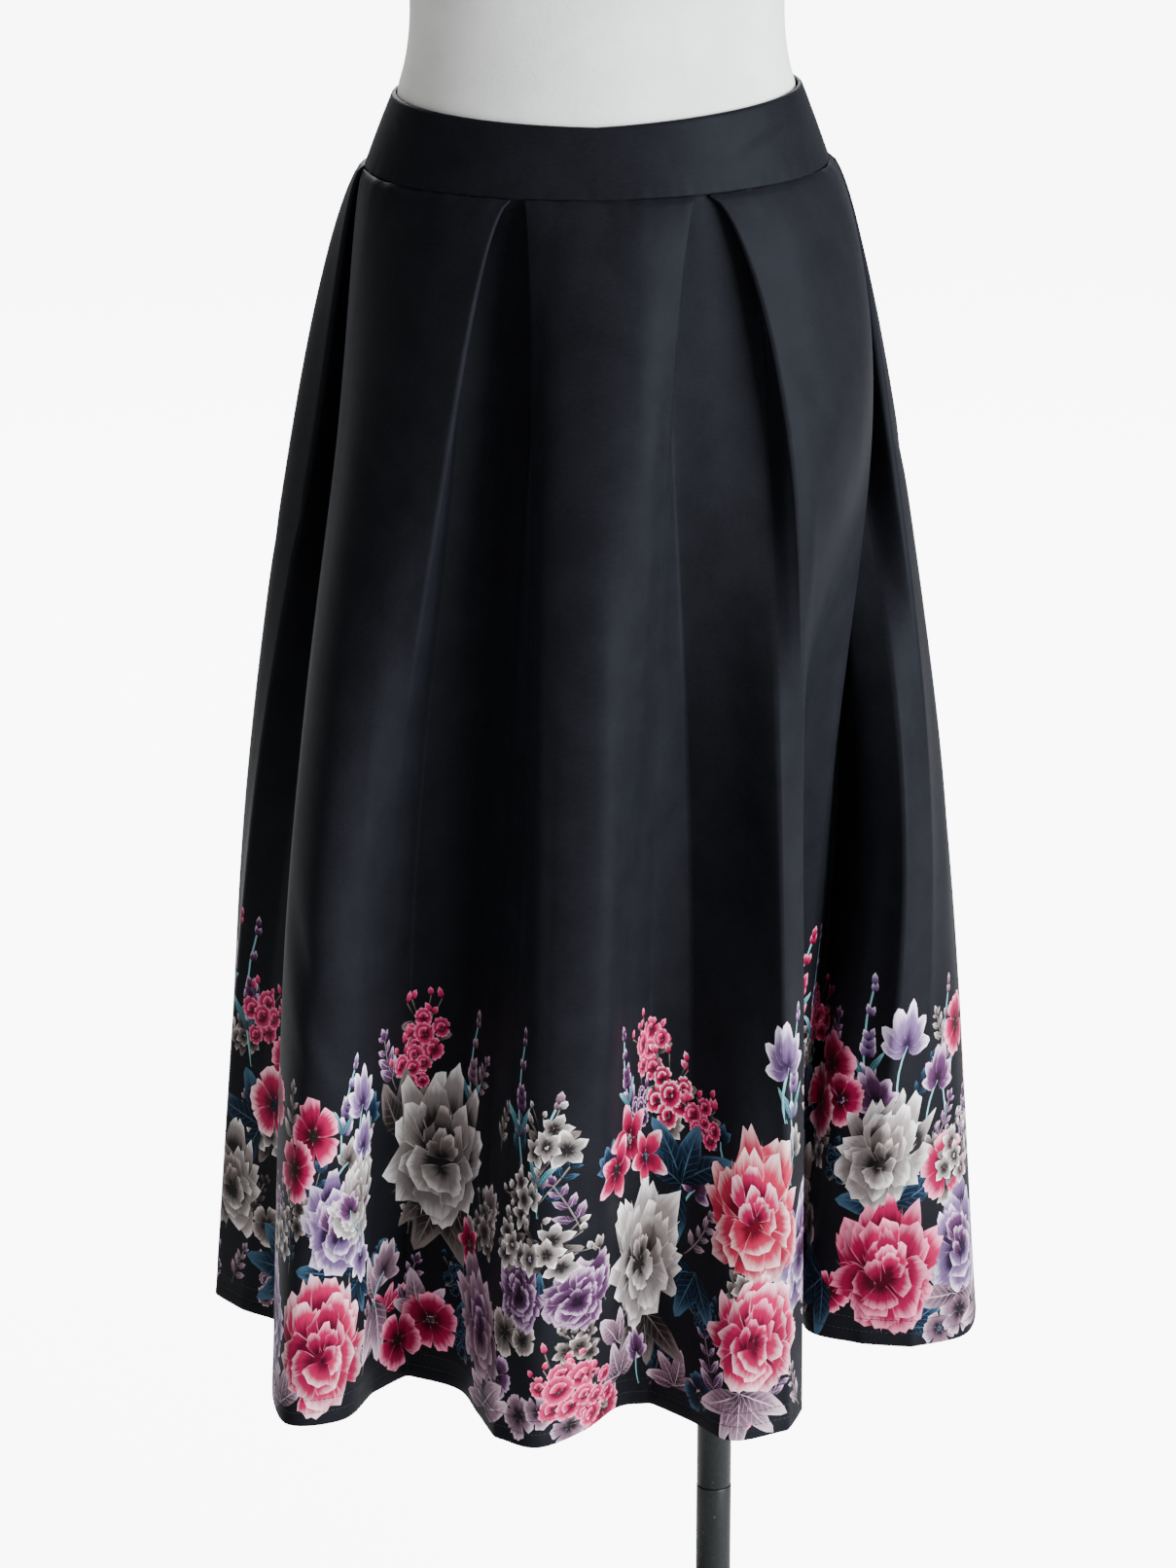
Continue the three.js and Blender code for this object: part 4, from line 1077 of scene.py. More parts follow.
def hem_stitches(name, low, high):
    """Both rows of stitches on one piece's hem. Each lies on the cloth, and its ends go down into it."""
    points, faces = [], []
    for height in STITCH_HEIGHTS:
        starts = np.arange(low + 3, high - 3, STITCH_PITCH)
        rings = []
        for along, lift in STITCH_PROFILE:
            cloth = starts + along * STITCH_LENGTH / 2
            place, normal = outer_face(cloth, np.full(len(starts), height))
            ahead = outer_face(cloth + 0.3, np.full(len(starts), height))[0]
            side = np.cross(normal, unit(ahead - place))
            middle = place + normal * lift * THREAD
            for step in range(THREAD_SIDES):
                angle = 2 * math.pi * step / THREAD_SIDES
                rings.append(middle + (normal * math.cos(angle) + side * math.sin(angle)) * THREAD)
        stacked = np.stack(rings, 1)
        first = sum(len(block) for block in points)
        points.append(stacked.reshape(-1, 3))
        size = len(STITCH_PROFILE) * THREAD_SIDES
        for stitch in range(len(starts)):
            at = first + stitch * size
            for ring in range(len(STITCH_PROFILE) - 1):
                for step in range(THREAD_SIDES):
                    one = at + ring * THREAD_SIDES + step
                    two = at + ring * THREAD_SIDES + (step + 1) % THREAD_SIDES
                    faces.append((one, one + THREAD_SIDES, two + THREAD_SIDES, two))
            faces.append(tuple(range(at, at + THREAD_SIDES)))
            faces.append(tuple(range(at + size - 1, at + size - THREAD_SIDES - 1, -1)))
    return mesh_piece(name, np.vstack(points), faces)


# ---------- the waistband ----------

BAND_PLY = 1.2
BAND_WALL = 3.0                   # the folded band, with the air between its two plies
BAND_RADIUS = 118                 # turns round the band into distances
# Troughs and ridges in the band, as in the skirt. Here at is [turn from the front in degrees, height above
# the seam], and lean is how far the upper end swings to the right.
BAND_CREASES = [
    {"at": [47, 27], "length": 34, "across": 3.2, "lean": 72, "depth": -0.9},
    {"at": [52, 22], "length": 40, "across": 3.6, "lean": 70, "depth": 0.6},
    {"at": [57, 30], "length": 30, "across": 3.0, "lean": 64, "depth": -0.8},
    {"at": [66, 14], "length": 26, "across": 4.0, "lean": 50, "depth": 0.35},
    {"at": [-42, 18], "length": 30, "across": 4.5, "lean": -66, "depth": -0.3},
    {"at": [-66, 28], "length": 28, "across": 4.0, "lean": -60, "depth": 0.3},
    {"at": [6, 20], "length": 50, "across": 5.0, "lean": 86, "depth": -0.22},
    {"at": [118, 24], "length": 34, "across": 4.0, "lean": -68, "depth": -0.4},
    {"at": [164, 16], "length": 42, "across": 5.0, "lean": 80, "depth": -0.3},
    {"at": [-128, 22], "length": 36, "across": 4.0, "lean": 66, "depth": -0.45},
    {"at": [-150, 28], "length": 30, "across": 4.0, "lean": -70, "depth": 0.3},
]


def band_relief(turn, height):
    """How far the outer ply stands out: a soft fullness, its creases, and fine puckers at the waist seam."""
    relief = 0.35 * np.sin(np.pi * np.clip(height / BAND_HEIGHT, 0, 1)) ** 0.8
    for crease in BAND_CREASES:
        away = (turn - math.radians(crease["at"][0]) + np.pi) % (2 * np.pi) - np.pi
        relief += one_crease(crease, away * BAND_RADIUS, height - crease["at"][1])
    pucker = np.sin(turn * 41) + np.sin(turn * 67 + 1) + np.sin(turn * 97 + 2)
    return relief + 0.11 * pucker * np.exp(-height / 5)


def band_place(turn, height, reach):
    """Points on the band: turn round the waist from the front centre, height above the seam, and reach
    outwards from the middle of its wall."""
    up = height / BAND_HEIGHT
    width = SEAM["half_width"] + (BAND["half_width"] - SEAM["half_width"]) * up + reach
    depth = SEAM["half_depth"] + (BAND["half_depth"] - SEAM["half_depth"]) * up + reach
    x, y = width * np.sin(turn), -depth * np.cos(turn)
    foot = seam_height(x, y)
    rise = BAND["side_rise"] * np.abs(np.sin(turn)) + BAND["right_rise"] * np.sin(turn)
    top = BAND_TOP + SEAM["back_rise"] * (1 - np.cos(turn)) / 2 + rise
    return np.column_stack([x, y, foot + (top - foot) * up])


def band_profile():
    """The folded band's section as [height, reach, share of the relief], from the outer ply's foot over the
    fold to the inner ply's foot, and back along the faces between the plies."""
    radius = BAND_WALL / 2
    outer = [(0.15, radius - 0.5, 0.3), (0.7, radius - 0.1, 0.8), (2, radius, 1)]
    outer += [(height, radius, 1) for height in np.linspace(4, BAND_HEIGHT - radius - 1.5, 18)]
    fold = []
    for step in range(9):
        angle = math.pi * step / 8
        fold.append((BAND_HEIGHT - radius + radius * math.sin(angle), radius * math.cos(angle),
                     0.5 + 0.5 * math.cos(angle)))
    inner = [(height, -radius, 0) for height in np.linspace(BAND_HEIGHT - radius - 2, 0.15, 9)]
    small = radius - BAND_PLY
    between = [(height, -small, 0) for height in np.linspace(0.15, BAND_HEIGHT - radius - 1, 9)]
    for step in range(5):
        angle = math.pi * (1 - step / 4)
        between.append((BAND_HEIGHT - radius + small * math.sin(angle), small * math.cos(angle), 0.5))
    between += [(height, small, 1) for height in np.linspace(BAND_HEIGHT - radius - 1, 0.15, 18)]
    return np.array(outer + fold + inner + between)


def band_cloth(name, low, high):
    """Half of the waistband: one strip of cloth folded double along its top, open at its foot."""
    profile = band_profile()
    turns = np.linspace(low, high, 221)
    rows = []
    for turn in turns:
        around = np.full(len(profile), turn)
        relief = band_relief(around, profile[:, 0]) * profile[:, 2]
        rows.append(band_place(around, profile[:, 0], profile[:, 1] + relief))
    points, size = np.vstack(rows), len(profile)
    faces = []
    for column in range(len(turns) - 1):
        for step in range(size):
            one, two = column * size + step, column * size + (step + 1) % size
            faces.append((one, one + size, two + size, two))
    faces.append(tuple(range(size)))
    faces.append(tuple(range(len(points) - 1, len(points) - size - 1, -1)))
    piece = mesh_piece(name, points, faces)
    steps = np.abs(np.diff(profile[:, :2], axis=0)).sum(axis=1)
    path = np.concatenate([[0], np.cumsum(steps)])
    flat = np.array([[turn * BAND_RADIUS, along] for turn in turns for along in path])
    map_corners(piece, "cloth", flat[corner_vertices(piece)] * MM)
    return piece


# ---------- finishes ----------

def fresh_material(name):
    material = bpy.data.materials.new(name)
    material.use_nodes = True
    return material, material.node_tree, material.node_tree.nodes["Principled BSDF"]


def add_node(tree, kind, **settings):
    made = tree.nodes.new(kind)
    for setting, value in settings.items():
        setattr(made, setting, value)
    return made


def feed(tree, socket, value):
    """Puts a number, a colour or another node's output into a socket."""
    if isinstance(value, bpy.types.NodeSocket):
        tree.links.new(value, socket)
    else:
        socket.default_value = value


def calc(tree, operation, *values):
    """The result of a Math node."""
    made = add_node(tree, "ShaderNodeMath", operation=operation)
    for socket, value in zip(made.inputs, values):
        feed(tree, socket, value)
    return made.outputs["Value"]


def ramp(tree, value, low, high, out_low=0.0, out_high=1.0):
    """A soft step from out_low to out_high while value goes from low to high."""
    made = add_node(tree, "ShaderNodeMapRange", interpolation_type="SMOOTHSTEP")
    for name, number in (("Value", value), ("From Min", low), ("From Max", high), ("To Min", out_low),
                         ("To Max", out_high)):
        feed(tree, made.inputs[name], number)
    return made.outputs["Result"]


def blend_colours(tree, share, one, two):
    made = add_node(tree, "ShaderNodeMix", data_type="RGBA")
    first, second = (socket for socket in made.inputs if socket.type == "RGBA")
    feed(tree, made.inputs["Factor"], share)
    feed(tree, first, one)
    feed(tree, second, two)
    return next(socket for socket in made.outputs if socket.type == "RGBA")


def noise(tree, place, scale, detail=2.0, roughness=0.5):
    made = add_node(tree, "ShaderNodeTexNoise")
    for name, number in (("Vector", place), ("Scale", scale), ("Detail", detail), ("Roughness", roughness)):
        feed(tree, made.inputs[name], number)
    return made.outputs["Fac"]


def stretched(tree, place, across, along, deep=1.0):
    made = add_node(tree, "ShaderNodeVectorMath", operation="MULTIPLY")
    feed(tree, made.inputs[0], place)
    made.inputs[1].default_value = (across, along, deep)
    return made.outputs["Vector"]


def bump(tree, shader, height, depth):
    made = add_node(tree, "ShaderNodeBump")
    made.inputs["Strength"].default_value = 1.0
    made.inputs["Distance"].default_value = depth
    feed(tree, made.inputs["Height"], height)
    tree.links.new(made.outputs["Normal"], shader.inputs["Normal"])


def new_group(name, takes, gives):
    """An empty shader group: its inputs as (name, type, value), and its outputs as names of values."""
    group = bpy.data.node_groups.new(name, "ShaderNodeTree")
    for label, kind, value in takes:
        socket = group.interface.new_socket(label, in_out="INPUT", socket_type=kind)
        if value is not None:
            socket.default_value = value
    for label in gives:
        group.interface.new_socket(label, in_out="OUTPUT", socket_type="NodeSocketFloat")
    return group, add_node(group, "NodeGroupInput").outputs, add_node(group, "NodeGroupOutput").inputs


def scuba_knit():
    """The fine face of scuba knit by its own flat map, in metres: rows of small stitches over a soft uneven
    surface. Tone is how light the dye has taken, and Height the relief."""
    takes = (("Cloth", "NodeSocketVector", None), ("Stitches per metre", "NodeSocketFloat", 1250.0),
             ("Unevenness", "NodeSocketFloat", 1.0))
    group, given, made = new_group("scuba knit", takes, ("Tone", "Height", "Gloss"))
    apart = add_node(group, "ShaderNodeSeparateXYZ")
    feed(group, apart.inputs[0], given["Cloth"])
    turns = calc(group, "MULTIPLY", given["Stitches per metre"], 2 * math.pi)
    wale = calc(group, "SINE", calc(group, "MULTIPLY", apart.outputs["X"], turns))
    course = calc(group, "SINE", calc(group, "MULTIPLY", apart.outputs["Y"], turns))
    stitches = calc(group, "ADD", calc(group, "MULTIPLY", calc(group, "ABSOLUTE", wale), 0.6),
                      calc(group, "MULTIPLY", course, 0.2))
    slub = noise(group, stretched(group, given["Cloth"], 1.0, 2.6), 260.0, 3.0, 0.6)
    broad = noise(group, given["Cloth"], 34.0, 3.0, 0.55)
    wide = noise(group, stretched(group, given["Cloth"], 1.0, 0.4), 9.0, 2.0)
    tone = calc(group, "ADD", calc(group, "MULTIPLY", broad, 0.55), calc(group, "MULTIPLY", slub, 0.45))
    feed(group, made["Tone"], ramp(group, tone, 0.3, 0.7))
    soft = calc(group, "MULTIPLY", calc(group, "ADD", calc(group, "MULTIPLY", broad, 5.0), slub),
                  given["Unevenness"])
    feed(group, made["Height"], calc(group, "ADD", calc(group, "MULTIPLY", stitches, 0.5), soft))
    feed(group, made["Gloss"], calc(group, "ADD", calc(group, "MULTIPLY", wide, 0.7),
                                      calc(group, "MULTIPLY", slub, 0.3)))
    return group


def paint_scuffs():
    """Rubbed streaks and small chips in paint. Worn is 1 where it is rubbed, and Height sinks there."""
    takes = (("Place", "NodeSocketVector", None), ("Scale", "NodeSocketFloat", 40.0),
             ("Stretch", "NodeSocketFloat", 0.2), ("Amount", "NodeSocketFloat", 0.5))
    group, given, made = new_group("paint scuffs", takes, ("Worn", "Height"))
    apart = add_node(group, "ShaderNodeSeparateXYZ")
    feed(group, apart.inputs[0], given["Place"])
    joined = add_node(group, "ShaderNodeCombineXYZ")
    feed(group, joined.inputs["X"], apart.outputs["X"])
    feed(group, joined.inputs["Y"], apart.outputs["Y"])
    feed(group, joined.inputs["Z"], calc(group, "MULTIPLY", apart.outputs["Z"], given["Stretch"]))
    streaks = noise(group, joined.outputs["Vector"], given["Scale"], 5.0, 0.65)
    chips = noise(group, given["Place"], calc(group, "MULTIPLY", given["Scale"], 6.0), 2.0, 0.5)
    level = calc(group, "SUBTRACT", 0.78, calc(group, "MULTIPLY", given["Amount"], 0.2))
    rubbed = ramp(group, streaks, level, calc(group, "ADD", level, 0.1))
    chipped = ramp(group, chips, calc(group, "ADD", level, 0.02), calc(group, "ADD", level, 0.06))
    worn = calc(group, "MAXIMUM", rubbed, calc(group, "MULTIPLY", chipped, 0.8))
    feed(group, made["Worn"], worn)
    feed(group, made["Height"], calc(group, "SUBTRACT", 1.0, worn))
    return group


SCUBA_KNIT = scuba_knit()
PAINT_SCUFFS = paint_scuffs()


def placed_group(tree, group, **values):
    made = add_node(tree, "ShaderNodeGroup", node_tree=group)
    for name, value in values.items():
        feed(tree, made.inputs[name.replace("_", " ")], value)
    return made.outputs


def petal_colour(tree):
    """Petals shaded from base to tip, with fine streaks and a pale rim. Leaves have a rib and side veins."""
    apart = add_node(tree, "ShaderNodeSeparateXYZ")
    feed(tree, apart.inputs[0], add_node(tree, "ShaderNodeUVMap", uv_map="petal").outputs["UV"])
    ripe, across = apart.outputs["X"], calc(tree, "ABSOLUTE", apart.outputs["Y"])
    base, middle, tip = (add_node(tree, "ShaderNodeVertexColor", layer_name=layer).outputs
                         for layer in PETAL_LAYERS)
    strokes = add_node(tree, "ShaderNodeCombineXYZ")
    feed(tree, strokes.inputs["X"], calc(tree, "MULTIPLY", apart.outputs["Y"], 4.5))
    feed(tree, strokes.inputs["Y"], calc(tree, "MULTIPLY", ripe, 0.9))
    feed(tree, strokes.inputs["Z"], calc(tree, "MULTIPLY", tip["Alpha"], 40.0))
    streak = noise(tree, strokes.outputs["Vector"], 1.0, 3.0, 0.6)
    curve = calc(tree, "MULTIPLY", calc(tree, "POWER", across, 2.0), 0.2)
    depth = calc(tree, "ADD", calc(tree, "ADD", ripe, curve),
                   calc(tree, "MULTIPLY", calc(tree, "SUBTRACT", streak, 0.5), 0.42))
    shaded = blend_colours(tree, ramp(tree, depth, 0.04, 0.6), base["Color"], middle["Color"])
    shaded = blend_colours(tree, ramp(tree, depth, 0.56, 1.04), shaded, tip["Color"])
    kind = middle["Alpha"]
    is_leaf = ramp(tree, calc(tree, "ABSOLUTE", calc(tree, "SUBTRACT", kind, 0.5)), 0.3, 0.2)
    rim = calc(tree, "MULTIPLY", ramp(tree, across, 0.9, 1.0, 0.0, 0.42), ramp(tree, kind, 0.1, 0.0))
    rib = ramp(tree, across, 0.08, 0.03)
    veins = calc(tree, "SINE", calc(tree, "SUBTRACT", calc(tree, "MULTIPLY", ripe, 48.0),
                                        calc(tree, "MULTIPLY", across, 9.0)))
    veins = calc(tree, "MAXIMUM", rib, ramp(tree, veins, 0.8, 1.0, 0.0, 0.4))
    lines = calc(tree, "ADD", calc(tree, "MULTIPLY", is_leaf, veins),
                   calc(tree, "MULTIPLY", calc(tree, "SUBTRACT", 1.0, is_leaf), rim))
    lines = calc(tree, "MULTIPLY", lines, ramp(tree, kind, 0.9, 0.6))
    return blend_colours(tree, calc(tree, "MULTIPLY", lines, 0.8), shaded, tip["Color"]), base["Alpha"]


def scuba_cloth(name, stitches, unevenness, printed):
    """Black scuba knit with a soft satin sheen. stitches is how many lie in a metre."""
    material, tree, shader = fresh_material(name)
    shader.inputs["Specular IOR Level"].default_value = 0.035
    shader.inputs["Specular Tint"].default_value = (0.76, 0.83, 1.0, 1.0)
    shader.inputs["Sheen Weight"].default_value = 0.02
    shader.inputs["Sheen Roughness"].default_value = 0.4
    shader.inputs["Sheen Tint"].default_value = (0.55, 0.68, 1.0, 1.0)
    cloth = add_node(tree, "ShaderNodeUVMap", uv_map="cloth").outputs["UV"]
    knit = placed_group(tree, SCUBA_KNIT, Cloth=cloth, Stitches_per_metre=stitches, Unevenness=unevenness)
    dye = blend_colours(tree, knit["Tone"], (0.0048, 0.0049, 0.0062, 1), (0.0072, 0.0075, 0.0096, 1))
    if printed:
        colour, cover = petal_colour(tree)
        show_through = calc(tree, "MULTIPLY", knit["Tone"], 0.1)
        ink = blend_colours(tree, show_through, colour, (0.02, 0.018, 0.02, 1))
        dye = blend_colours(tree, cover, dye, ink)
    feed(tree, shader.inputs["Base Color"], dye)
    feed(tree, shader.inputs["Roughness"], ramp(tree, knit["Gloss"], 0.3, 0.7, 0.43, 0.53))
    bump(tree, shader, knit["Height"], 0.00006)
    return material


def thread():
    """Black sewing thread with a fine twist."""
    material, tree, shader = fresh_material("hem_thread")
    shader.inputs["Specular IOR Level"].default_value = 0.35
    place = add_node(tree, "ShaderNodeTexCoord").outputs["Object"]
    twist = noise(tree, place, 2600.0, 1.0)
    black = blend_colours(tree, twist, (0.004, 0.0044, 0.006, 1), (0.012, 0.012, 0.016, 1))
    feed(tree, shader.inputs["Base Color"], black)
    feed(tree, shader.inputs["Roughness"], ramp(tree, twist, 0.3, 0.7, 0.38, 0.6))
    return material


def form_skin():
    """Matte off-white shell, a little mottled and handled."""
    material, tree, shader = fresh_material("form_skin")
    shader.inputs["Specular IOR Level"].default_value = 0.35
    place = add_node(tree, "ShaderNodeTexCoord").outputs["Object"]
    cloudy = noise(tree, place, 22.0, 4.0, 0.6)
    specks = noise(tree, place, 420.0, 2.0, 0.6)
    marks = noise(tree, stretched(tree, place, 1.0, 1.0, 0.35), 9.0, 5.0, 0.7)
    skin = blend_colours(tree, ramp(tree, cloudy, 0.32, 0.68), (0.60, 0.605, 0.60, 1), (0.69, 0.69, 0.68, 1))
    skin = blend_colours(tree, ramp(tree, specks, 0.62, 0.78, 0.0, 0.35), skin, (0.52, 0.51, 0.49, 1))
    skin = blend_colours(tree, ramp(tree, marks, 0.58, 0.76, 0.0, 0.25), skin, (0.50, 0.49, 0.46, 1))
    feed(tree, shader.inputs["Base Color"], skin)
    feed(tree, shader.inputs["Roughness"], ramp(tree, marks, 0.35, 0.7, 0.55, 0.72))
    height = calc(tree, "ADD", specks, calc(tree, "MULTIPLY", cloudy, 4.0))
    bump(tree, shader, height, 0.00012)
    return material


def stand_paint(name, colour, rubbed, gloss, grain, stretch, amount):
    """Dark paint on steel, scuffed along its length, with the fine grain of its own coat."""
    material, tree, shader = fresh_material(name)
    shader.inputs["Specular IOR Level"].default_value = 0.25
    place = add_node(tree, "ShaderNodeTexCoord").outputs["Object"]
    scuffs = placed_group(tree, PAINT_SCUFFS, Place=place, Scale=46.0, Stretch=stretch, Amount=amount)
    skin = noise(tree, place, grain, 2.0, 0.6)
    lighter = [share * 1.5 for share in colour[:3]] + [1]
    coat = blend_colours(tree, ramp(tree, skin, 0.35, 0.65), colour, lighter)
    feed(tree, shader.inputs["Base Color"], blend_colours(tree, scuffs["Worn"], coat, rubbed))
    rougher = calc(tree, "MULTIPLY", scuffs["Worn"], 0.2)
    feed(tree, shader.inputs["Roughness"], calc(tree, "ADD", gloss, rougher))
    height = calc(tree, "ADD", skin, calc(tree, "MULTIPLY", scuffs["Height"], 0.5))
    bump(tree, shader, height, 0.00008)
    return material


SKIRT_FINISH = scuba_cloth("scuba_cloth", 1250.0, 1.0, printed=True)
BAND_FINISH = scuba_cloth("band_cloth", 1180.0, 0.7, printed=False)
THREAD_FINISH = thread()
FORM_FINISH = form_skin()
POLE_FINISH = stand_paint("pole_paint", (0.006, 0.007, 0.0075, 1), (0.05, 0.053, 0.056, 1), gloss=0.36,
                          grain=600.0, stretch=0.12, amount=0.55)
BASE_FINISH = stand_paint("base_powder_coat", (0.007, 0.0075, 0.008, 1), (0.05, 0.05, 0.053, 1), gloss=0.5,
                          grain=1500.0, stretch=1.0, amount=0.35)


# ---------- form and stand, modelled with edit-mode tools ---

FORM_TOP = 468
# The dress form, a row for each section: its height above the top of the band, half width, half depth, and
# how far its middle lies behind the skirt's.
FORM_SECTIONS = (
    (-292, 99, 60, 0), (-289, 104, 65, 0), (-278, 110, 71, 0), (-250, 116, 76, 0),
    (-200, 120, 80, 0), (-140, 122, 83, 0), (-80, 124, 85.5, 0), (-40, 124, 86.5, 0),
    (-15, 122.6, 86.8, 0), (-4, 120.9, 86.2, 0), (8, 120.6, 85.6, 0), (16, 117.8, 84.2, 0),
    (28, 114.8, 82.8, 0), (52, 112, 82, 0), (85, 113.5, 83.5, 0), (130, 119, 88.5, -2),
    (175, 127, 95, -5), (215, 134, 99, -7), (255, 139, 98, -6), (295, 144, 91, -2),
    (330, 148, 80, 3), (352, 145, 70, 7), (370, 128, 62, 9), (386, 102, 56, 10),
    (402, 76, 52, 9), (420, 60, 50, 8), (445, 54, 49, 6), (FORM_TOP, 53, 49, 4),
)
BOTTOM_ROUND = 6                  # how far the form's closed bottom is rounded in
NECK_CAP = {"thickness": 8, "edge": 2.5, "overhang": 1.5}
POLE = {"x": 78, "upper_radius": 11.3, "lower_radius": 11.5, "joint_height": 192}
SOCKET = {"flange_radius": 24, "flange": 6, "collar_radius": 16, "length": 48, "fillet": 2}
BASE_PLATE = {"radius": 175, "thickness": 9, "edge": 2.5}
BASE_COLLAR = {"radius": 21, "rim": 5, "shoulder": 11, "neck_radius": 16, "height": 34}
FORM_BOTTOM = BAND_TOP + FORM_SECTIONS[0][0]
SOCKET_TOP = FORM_BOTTOM - SEAM_GAP
POLE_TOP = SOCKET_TOP - SOCKET["flange"] - SEAM_GAP
POLE_FOOT = BASE_PLATE["thickness"] + SEAM_GAP


def start_disc(name, middle, radius, sides):
    """A flat disc in edit mode, all selected, facing up. middle is in millimetres."""
    bpy.ops.object.select_all(action="DESELECT")
    bpy.ops.mesh.primitive_circle_add(vertices=sides, radius=radius * MM, fill_type="NGON",
                                      location=Vector(middle) * MM)
    piece = bpy.context.object
    piece.name = piece.data.name = name
    bpy.ops.object.mode_set(mode="EDIT")
    bpy.ops.mesh.select_all(action="SELECT")
    return piece


def pull(up):
    """Draws the selected face out along Z."""
    bpy.ops.mesh.extrude_region_move(TRANSFORM_OT_translate={"value": (0, 0, up * MM)})


def widen(middle, across, along):
    """Scales what is selected about a place given in millimetres."""
    bpy.ops.transform.resize(value=(across, along, 1), center_override=Vector(middle) * MM)


def inset(width):
    """Draws a smaller face inside the selected one."""
    bpy.ops.mesh.inset(thickness=width * MM, use_even_offset=True)


def pick(piece, kind, test):
    """Selects the faces or edges whose middle, in millimetres, passes a test."""
    edited = bmesh.from_edit_mesh(piece.data)
    bpy.ops.mesh.select_all(action="DESELECT")
    for part in getattr(edited, kind):
        corners = [corner.co for corner in part.verts]
        middle = (piece.matrix_world @ (sum(corners, Vector()) / len(corners))) / MM
        if test(middle, part):
            part.select_set(True)
    edited.select_flush_mode()
    bmesh.update_edit_mesh(piece.data)


def bevel_rims(piece, heights, width, segments=3):
    """Rounds the level edges that lie at some heights."""
    bpy.ops.mesh.select_mode(type="EDGE")

    def on_rim(middle, edge):
        level = abs(edge.verts[0].co.z - edge.verts[1].co.z) < 1e-6
        turning = len(edge.link_faces) == 2 and edge.calc_face_angle(0) > 0.5
        return level and turning and min(abs(middle.z - height) for height in heights) < 0.05

    pick(piece, "edges", on_rim)
    bpy.ops.mesh.bevel(offset=width * MM, segments=segments, profile=0.5)


def finish_piece(piece, finish, node, subdivisions=0, angle=35):
    """Leaves edit mode, puts the piece's place into its mesh, gives it its finish, hangs it from the root
    and hides the CAD node it takes the place of.
    """
    bpy.ops.mesh.select_all(action="SELECT")
    bpy.ops.mesh.remove_doubles(threshold=1e-6)
    bpy.ops.mesh.normals_make_consistent(inside=False)
    bpy.ops.object.mode_set(mode="OBJECT")
    bpy.ops.object.transform_apply(location=True, rotation=True, scale=True)
    if subdivisions:
        smooth = piece.modifiers.new("smooth", "SUBSURF")
        smooth.levels = smooth.render_levels = subdivisions
        bpy.ops.object.modifier_apply(modifier=smooth.name)
    bpy.ops.object.shade_smooth_by_angle(angle=math.radians(angle))
    piece.data.materials.append(finish)
    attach(piece, "root")
    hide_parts(node)
    bpy.ops.object.select_all(action="DESELECT")


def form_torso():
    """Drawn up section by section from the closed bottom, a little smaller, to the neck."""
    height, width, depth, behind = FORM_SECTIONS[0]
    at = [0, behind, BAND_TOP + height]
    torso = start_disc("form_torso_shell", at, 1, 64)
    last = (width - BOTTOM_ROUND, depth - BOTTOM_ROUND)
    widen(at, *last)
    for height, width, depth, behind in FORM_SECTIONS:
        step = (0, (behind - at[1]) * MM, (BAND_TOP + height - at[2]) * MM)
        bpy.ops.mesh.extrude_region_move(TRANSFORM_OT_translate={"value": step})
        at = [0, behind, BAND_TOP + height]
        widen(at, width / last[0], depth / last[1])
        last = (width, depth)
    inset(1.5)
    inset(14)
    pick(torso, "faces", lambda middle, face: middle.z < FORM_BOTTOM + 0.1 and len(face.verts) > 4)
    inset(20)
    finish_piece(torso, FORM_FINISH, "form_torso", subdivisions=2, angle=50)


def neck_cap():
    """A thin round-edged lid over the neck."""
    height, width, depth, behind = FORM_SECTIONS[-1]
    at = [0, behind, BAND_TOP + height + SEAM_GAP]
    cap = start_disc("form_neck_lid", at, 1, 96)
    widen(at, width + NECK_CAP["overhang"], depth + NECK_CAP["overhang"])
    pull(NECK_CAP["thickness"])
    lid_top = at[2] + NECK_CAP["thickness"]
    bevel_rims(cap, [lid_top], NECK_CAP["edge"], 5)
    bevel_rims(cap, [at[2]], 0.6, 2)
    pick(cap, "faces", lambda middle, face: middle.z > lid_top - 0.1)
    inset(8)
    finish_piece(cap, FORM_FINISH, "form_neck_cap", angle=40)


def stand_socket():
    """A flange under the form, and the collar that takes the pole."""
    top, foot = SOCKET_TOP, SOCKET_TOP - SOCKET["length"]
    under = top - SOCKET["flange"]
    bore = POLE["upper_radius"] + SEAM_GAP
    socket = start_disc("stand_socket_fitting", [POLE["x"], 0, top], SOCKET["flange_radius"], 64)
    pull(-SOCKET["flange"])
    inset(SOCKET["flange_radius"] - SOCKET["collar_radius"] - SOCKET["fillet"])
    inset(SOCKET["fillet"])
    pull(foot - under)
    inset(SOCKET["collar_radius"] - bore)
    pull(under - foot)
    bevel_rims(socket, [top, under], 0.8)
    bevel_rims(socket, [foot], 0.9)
    finish_piece(socket, POLE_FINISH, "stand_socket")


def pole_length(name, node, bottom, top, radius):
    """One length of the pole, with eased ends."""
    pole = start_disc(name, [POLE["x"], 0, bottom], radius, 56)
    stretches = 6
    for _ in range(stretches):
        pull((top - bottom) / stretches)
    bevel_rims(pole, [bottom, top], 0.7)
    pick(pole, "faces", lambda middle, face: len(face.verts) > 12)
    inset(2)
    finish_piece(pole, POLE_FINISH, node)


